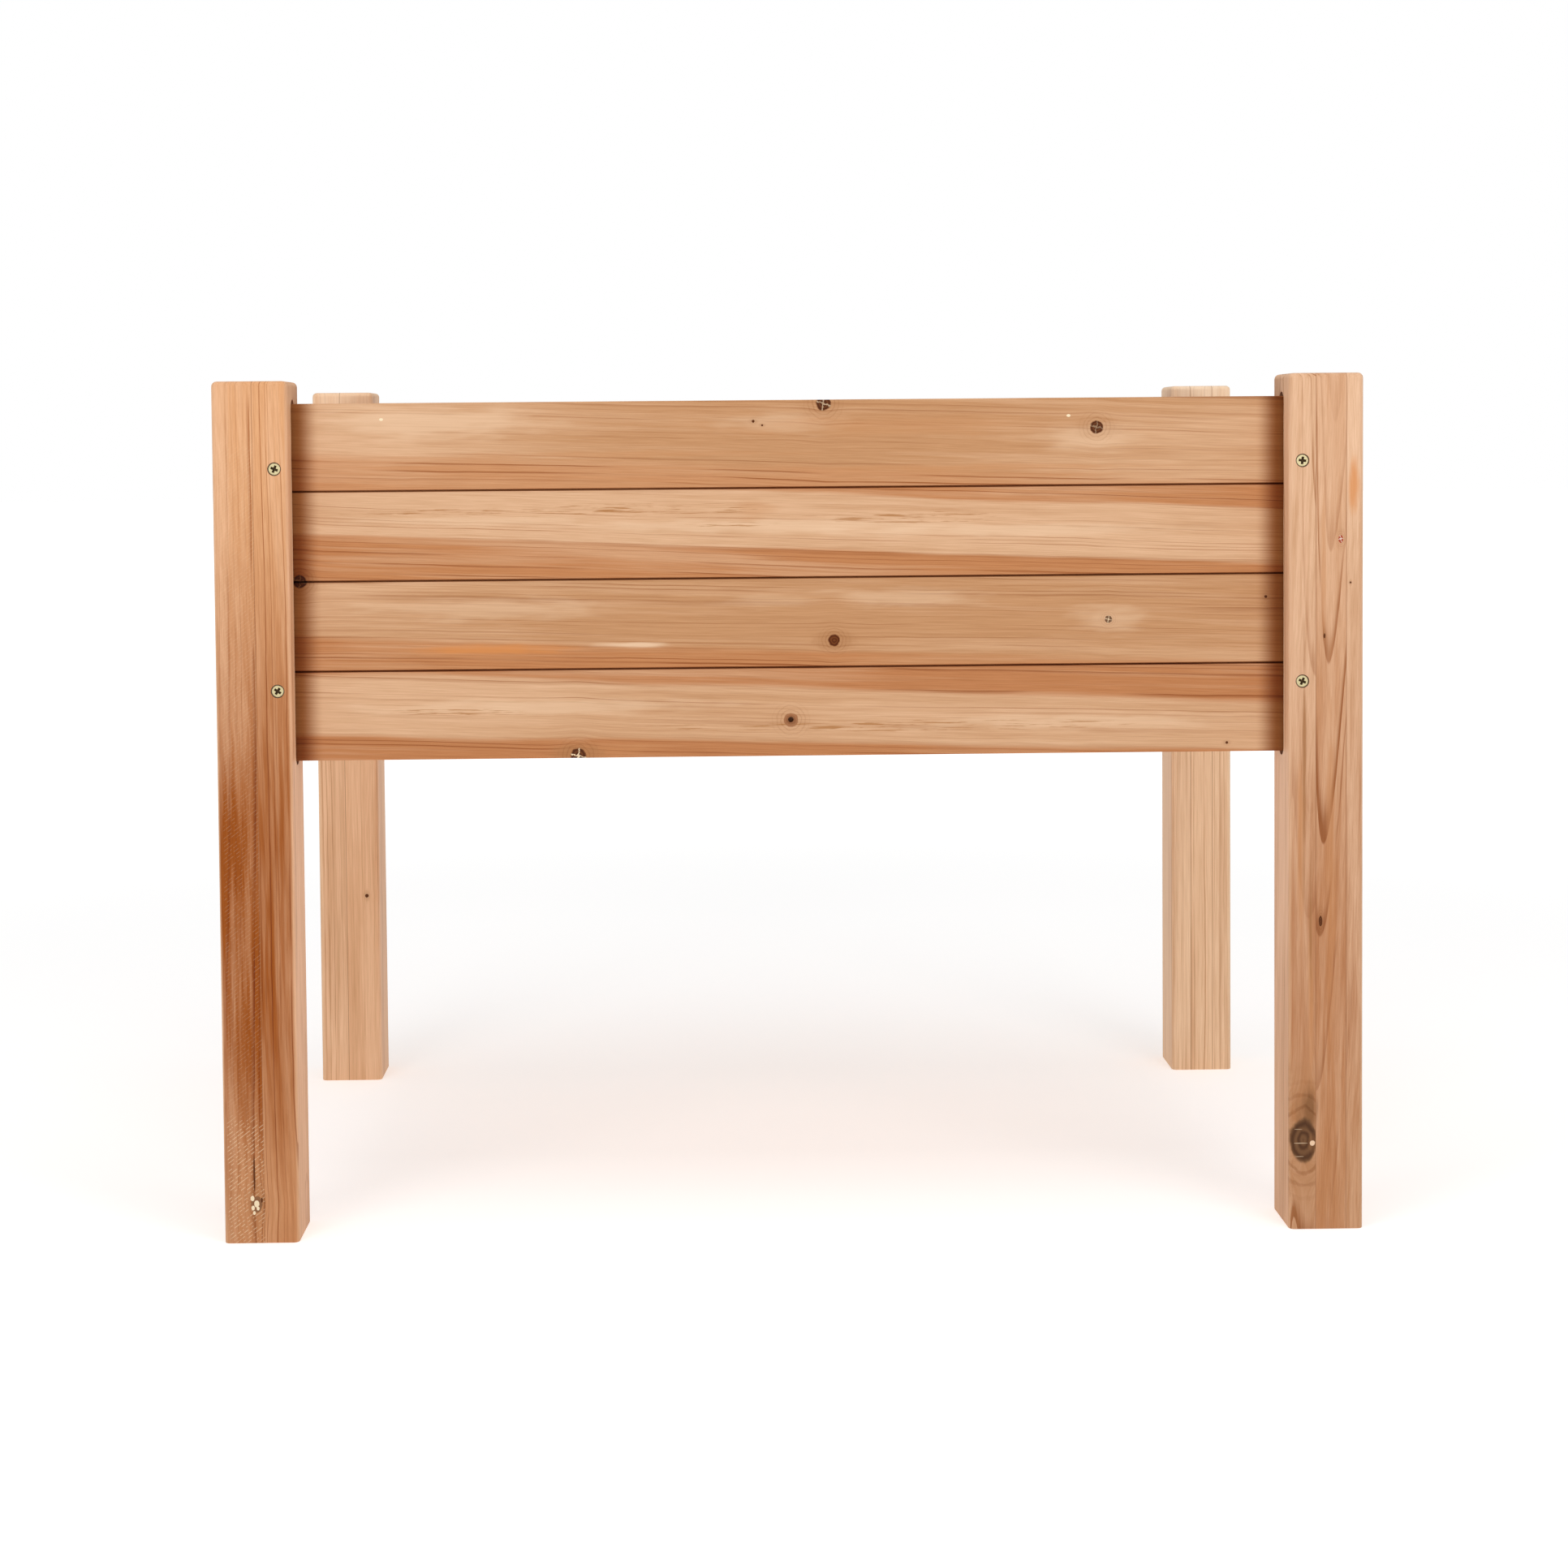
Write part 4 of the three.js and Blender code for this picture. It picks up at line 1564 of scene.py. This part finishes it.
class PLANTER_OT_battens(bpy.types.Operator):
    """Model the four ledgers and the centre bearer"""

    bl_idname = "planter.battens"
    bl_label = "Ledgers and bearer"

    def execute(self, context):
        nodes = [f"{side}_ledger" for side in WALLS] + ["centre_bearer"]
        for seed, node in enumerate(nodes, start=70):
            low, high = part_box(node)
            piece = add_block(f"batten_{node}", low, high)
            start_edit(piece)
            round_edges(piece, lambda edge: True, 1.5 * MM, 3)
            end_edit()
            if node.endswith("ledger"):
                for cutter in self.screw_holes(node.split("_")[0]):
                    carve(piece, cutter)
            smooth(piece)
            along_x = (high.x - low.x) > (high.y - low.y)
            axes = (X_AXIS, Y_AXIS, Z_AXIS) if along_x else (Y_AXIS, BACK_X, Z_AXIS)
            look = random_board_look(seed, max(high.x - low.x, high.y - low.y))
            look.update(sapwood=(0.70, 0.44, 0.27), hearts=[], knots=[])
            material = timber_material(f"batten_timber_{node}", axes, (low + high) / 2, look)
            hand_over(piece, node, material)
        return {"FINISHED"}

    def screw_holes(self, side):
        count = 3 if side in ("front", "rear") else 2
        turn = {
            "front": (-pi / 2, 0, 0),
            "rear": (pi / 2, 0, 0),
            "left": (0, pi / 2, 0),
            "right": (0, -pi / 2, 0),
        }
        cutters = []
        for number in range(1, count + 1):
            low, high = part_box(f"{side}_ledger_screw_{number}")
            middle = (low + high) / 2
            sink = 0.4 * MM
            mouth = {
                "front": (middle.x, high.y + sink, middle.z),
                "rear": (middle.x, low.y - sink, middle.z),
                "left": (high.x + sink, middle.y, middle.z),
                "right": (low.x - sink, middle.y, middle.z),
            }[side]
            shank, rim = 2.3 * MM, 4.7 * MM
            profile = [(shank, -25 * MM), (shank, shank - rim), (rim, 0), (rim, MM)]
            cutters.append(put(add_round_cutter("hole", profile), turn[side], mouth))
        return cutters


class PLANTER_OT_slats(bpy.types.Operator):
    """Model the floor slats, the first and last notched round the posts"""

    bl_idname = "planter.slats"
    bl_label = "Floor slats"

    def execute(self, context):
        for number in range(1, SLATS + 1):
            node = f"floor_slat_{number}"
            low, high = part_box(node)
            slat = add_block(f"slat_{number}", low, high)
            if number in (1, SLATS):
                for cutter in self.notch_cutters(low, high):
                    carve(slat, cutter)
            start_edit(slat)
            round_edges(slat, lambda edge: edge.calc_face_angle(0) > radians(30), 1.2 * MM, 3)
            end_edit()
            smooth(slat)
            look = random_board_look(90 + number, high.x - low.x)
            look.update(sapwood=(0.72, 0.47, 0.29))
            axes = (X_AXIS, Y_AXIS, Z_AXIS)
            material = timber_material(f"slat_timber_{number}", axes, (0, low.y, high.z), look)
            hand_over(slat, node, material)
        return {"FINISHED"}

    def notch_cutters(self, low, high):
        """Two blocks where the posts stand, with the same play all round."""
        play = 1.5 * MM
        front = low.y < 0
        post_low, post_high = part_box("post_front_left" if front else "post_rear_left")
        inner = post_high.x + play
        edge = post_high.y + play if front else post_low.y - play
        near, far = (low.y - MM, edge) if front else (edge, high.y + MM)
        cutters = []
        for left, right in ((low.x - MM, inner), (-inner, high.x + MM)):
            cutters.append(add_block("notch", (left, near, low.z - MM), (right, far, high.z + MM)))
        return cutters


def make_screw(name, node):
    """A countersunk cross-recess screw with its head towards +Z, modelled at the size of a node."""
    low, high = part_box(node)
    spans = sorted(high - low)
    head, length = spans[0] / 2, spans[2]
    shank = head * 0.48
    rim = 0.3 * MM
    cone = head * 0.52
    profile = [
        (0.4 * MM, -length),
        (shank, -length + 6 * MM),
        (shank, -cone - rim),
        (head, -rim),
        (head, -0.25 * MM),
        (head - 0.4 * MM, 0),
    ]
    screw = add_round_cutter(name, profile, sides=40)
    depth = head * 0.42
    for turn in (0, pi / 2):
        blade = add_block("blade", (-head * 0.78, -head * 0.23, -depth), (head * 0.78, head * 0.23, MM))
        start_edit(blade)
        pick(blade, "FACE", lambda face: face.normal.z < -0.9)
        bpy.ops.transform.resize(value=(0.45, 0.75, 1), center_override=(0, 0, -depth))
        end_edit()
        # The cross recess gets the painted shade material.
        carve(screw, put(blade, (0, 0, turn), (0, 0, 0)), inner="screw_recess_shade")
    smooth(screw, 30)
    return screw


class PLANTER_OT_post_screws(bpy.types.Operator):
    """Model the sixteen long screws through the posts"""

    bl_idname = "planter.post_screws"
    bl_label = "Post screws"

    def execute(self, context):
        screw = make_screw("long_screw", "post_screw_front_left_front_upper")
        zinc = bpy.data.materials["screw_zinc"]
        draw = random.Random(5)
        for node in sorted(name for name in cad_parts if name.startswith("post_screw_")):
            low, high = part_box(node)
            middle = (low + high) / 2
            face = node.split("_")[-2]
            twist = draw.uniform(0, pi / 2)
            twin = put(copy_of(screw, f"long_{node}"), (0, 0, twist), (0, 0, 0))
            turn, place = facing(face, low, high, middle)
            put(twin, turn, place)
            hand_over(twin, node, zinc)
        only(screw)
        bpy.ops.object.delete()
        return {"FINISHED"}


def facing(face, low, high, middle):
    """The turn and place that set a screw's head in the side of its box that looks to a face."""
    return {
        "front": ((pi / 2, 0, 0), (middle.x, low.y, middle.z)),
        "rear": ((-pi / 2, 0, 0), (middle.x, high.y, middle.z)),
        "left": ((0, -pi / 2, 0), (low.x, middle.y, middle.z)),
        "right": ((0, pi / 2, 0), (high.x, middle.y, middle.z)),
    }[face]


class PLANTER_OT_ledger_screws(bpy.types.Operator):
    """Model the ten short screws that hold the ledgers"""

    bl_idname = "planter.ledger_screws"
    bl_label = "Ledger screws"

    def execute(self, context):
        screw = make_screw("short_screw", "front_ledger_screw_1")
        zinc = bpy.data.materials["screw_zinc"]
        inward = {"front": "rear", "rear": "front", "left": "right", "right": "left"}
        draw = random.Random(6)
        for node in sorted(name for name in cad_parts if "ledger_screw" in name):
            low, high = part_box(node)
            middle = (low + high) / 2
            twist = draw.uniform(0, pi / 2)
            twin = put(copy_of(screw, f"short_{node}"), (0, 0, twist), (0, 0, 0))
            turn, place = facing(inward[node.split("_")[0]], low, high, middle)
            put(twin, turn, place)
            hand_over(twin, node, zinc)
        only(screw)
        bpy.ops.object.delete()
        return {"FINISHED"}


class PLANTER_OT_stage(bpy.types.Operator):
    """Set up the camera, the pale floor and the soft studio light"""

    bl_idname = "planter.stage"
    bl_label = "Stage"

    def execute(self, context):
        self.add_floor()
        self.add_camera(context)
        self.add_lights(context)
        self.set_world(context)
        context.scene.view_settings.view_transform = "Standard"
        return {"FINISHED"}

    def add_floor(self):
        nothing_selected()
        bpy.ops.mesh.primitive_circle_add(vertices=96, radius=FLOOR_RADIUS, fill_type="NGON", location=(0, 0, 0))
        floor = take("studio_floor")
        material, graph, shader = start_material("pale_floor")
        source = graph.add("ShaderNodeTexCoord").outputs["Object"]
        away = graph.step(graph.vector("LENGTH", source), 0.9, 3.5)
        graph.join(shader.inputs["Base Color"], graph.mix(away, (0.9, 0.9, 0.9, 1), (0.2, 0.2, 0.2, 1)))
        shader.inputs["Roughness"].default_value = 0.9
        shader.inputs["Specular IOR Level"].default_value = 0.0
        shader.inputs["Emission Color"].default_value = (1, 1, 1, 1)
        graph.join(shader.inputs["Emission Strength"], graph.times_plus(away, 0.6, 0.46))
        clear = graph.add("ShaderNodeBsdfTransparent")
        seen_from_below = graph.add("ShaderNodeNewGeometry").outputs["Backfacing"]
        either = graph.add("ShaderNodeMixShader")
        graph.join(either.inputs["Fac"], seen_from_below)
        graph.tree.links.new(shader.outputs["BSDF"], either.inputs[1])
        graph.tree.links.new(clear.outputs["BSDF"], either.inputs[2])
        output = next(node for node in graph.tree.nodes if node.type == "OUTPUT_MATERIAL")
        graph.join(output.inputs["Surface"], either.outputs["Shader"])
        floor.data.materials.append(material)

    def add_camera(self, context):
        nothing_selected()
        yaw = Matrix.Rotation(CAMERA_YAW, 3, "Z")
        pitch = Matrix.Rotation(pi / 2 + CAMERA_PITCH, 3, "X")
        roll = Matrix.Rotation(CAMERA_ROLL, 3, "Z")
        turn = yaw @ pitch @ roll
        bpy.ops.object.camera_add(location=CAMERA_PLACE, rotation=turn.to_euler("XYZ"))
        camera = context.object
        camera.name = "camera"
        camera.data.lens = context.scene.planter_stage.lens
        camera.data.sensor_width = SENSOR_WIDTH
        camera.data.shift_x, camera.data.shift_y = CAMERA_SHIFT
        context.scene.camera = camera

    def add_lights(self, context):
        power = context.scene.planter_stage.key_power
        target = Vector(LIGHT_TARGET)
        for name, place, size, share in SOFTBOXES:
            nothing_selected()
            aim = (target - Vector(place)).to_track_quat("-Z", "Y").to_euler()
            bpy.ops.object.light_add(type="AREA", location=place, rotation=aim)
            light = context.object
            light.name = name
            light.data.shape = "SQUARE"
            light.data.size = size
            light.data.energy = power * share

    def set_world(self, context):
        world = bpy.data.worlds.new("studio")
        context.scene.world = world
        world.use_nodes = True
        graph = Graph(world.node_tree)
        backdrop = next(node for node in world.node_tree.nodes if node.type == "BACKGROUND")
        seen = graph.add("ShaderNodeLightPath").outputs["Is Camera Ray"]
        sky = context.scene.planter_stage.sky
        graph.join(backdrop.inputs["Color"], (1, 1, 1, 1))
        graph.join(backdrop.inputs["Strength"], graph.times_plus(seen, 1.0 - sky, sky))


class PLANTER_PT_panel(bpy.types.Panel):
    """Lists the planter's pieces and settings"""

    bl_label = "Raised planter"
    bl_idname = "PLANTER_PT_panel"
    bl_space_type = "VIEW_3D"
    bl_region_type = "UI"
    bl_category = "Planter"

    def draw(self, context):
        for operator in OPERATORS:
            self.layout.operator(operator.bl_idname)
        scene = context.scene
        for group in (scene.planter_sizes, scene.planter_colours, scene.planter_stage):
            box = self.layout.box()
            for key in group.__annotations__:
                box.prop(group, key)


OPERATORS = (
    PLANTER_OT_shading,
    PLANTER_OT_stage,
    PLANTER_OT_posts,
    PLANTER_OT_boards,
    PLANTER_OT_battens,
    PLANTER_OT_slats,
    PLANTER_OT_post_screws,
    PLANTER_OT_ledger_screws,
)
GROUPS = {
    "planter_sizes": PlanterSizes,
    "planter_colours": PlanterColours,
    "planter_stage": PlanterStage,
}


def register():
    for kind in (*GROUPS.values(), *OPERATORS, PLANTER_PT_panel):
        bpy.utils.register_class(kind)
    for name, group in GROUPS.items():
        setattr(bpy.types.Scene, name, PointerProperty(type=group))


def unregister():
    for name in GROUPS:
        delattr(bpy.types.Scene, name)
    for kind in (PLANTER_PT_panel, *reversed(OPERATORS), *GROUPS.values()):
        bpy.utils.unregister_class(kind)


def main():
    register()
    bpy.ops.planter.shading()
    bpy.ops.planter.stage()
    bpy.ops.planter.posts()
    bpy.ops.planter.boards()
    bpy.ops.planter.battens()
    bpy.ops.planter.slats()
    bpy.ops.planter.post_screws()
    bpy.ops.planter.ledger_screws()
    nothing_selected()


if __name__ == "__main__":
    main()
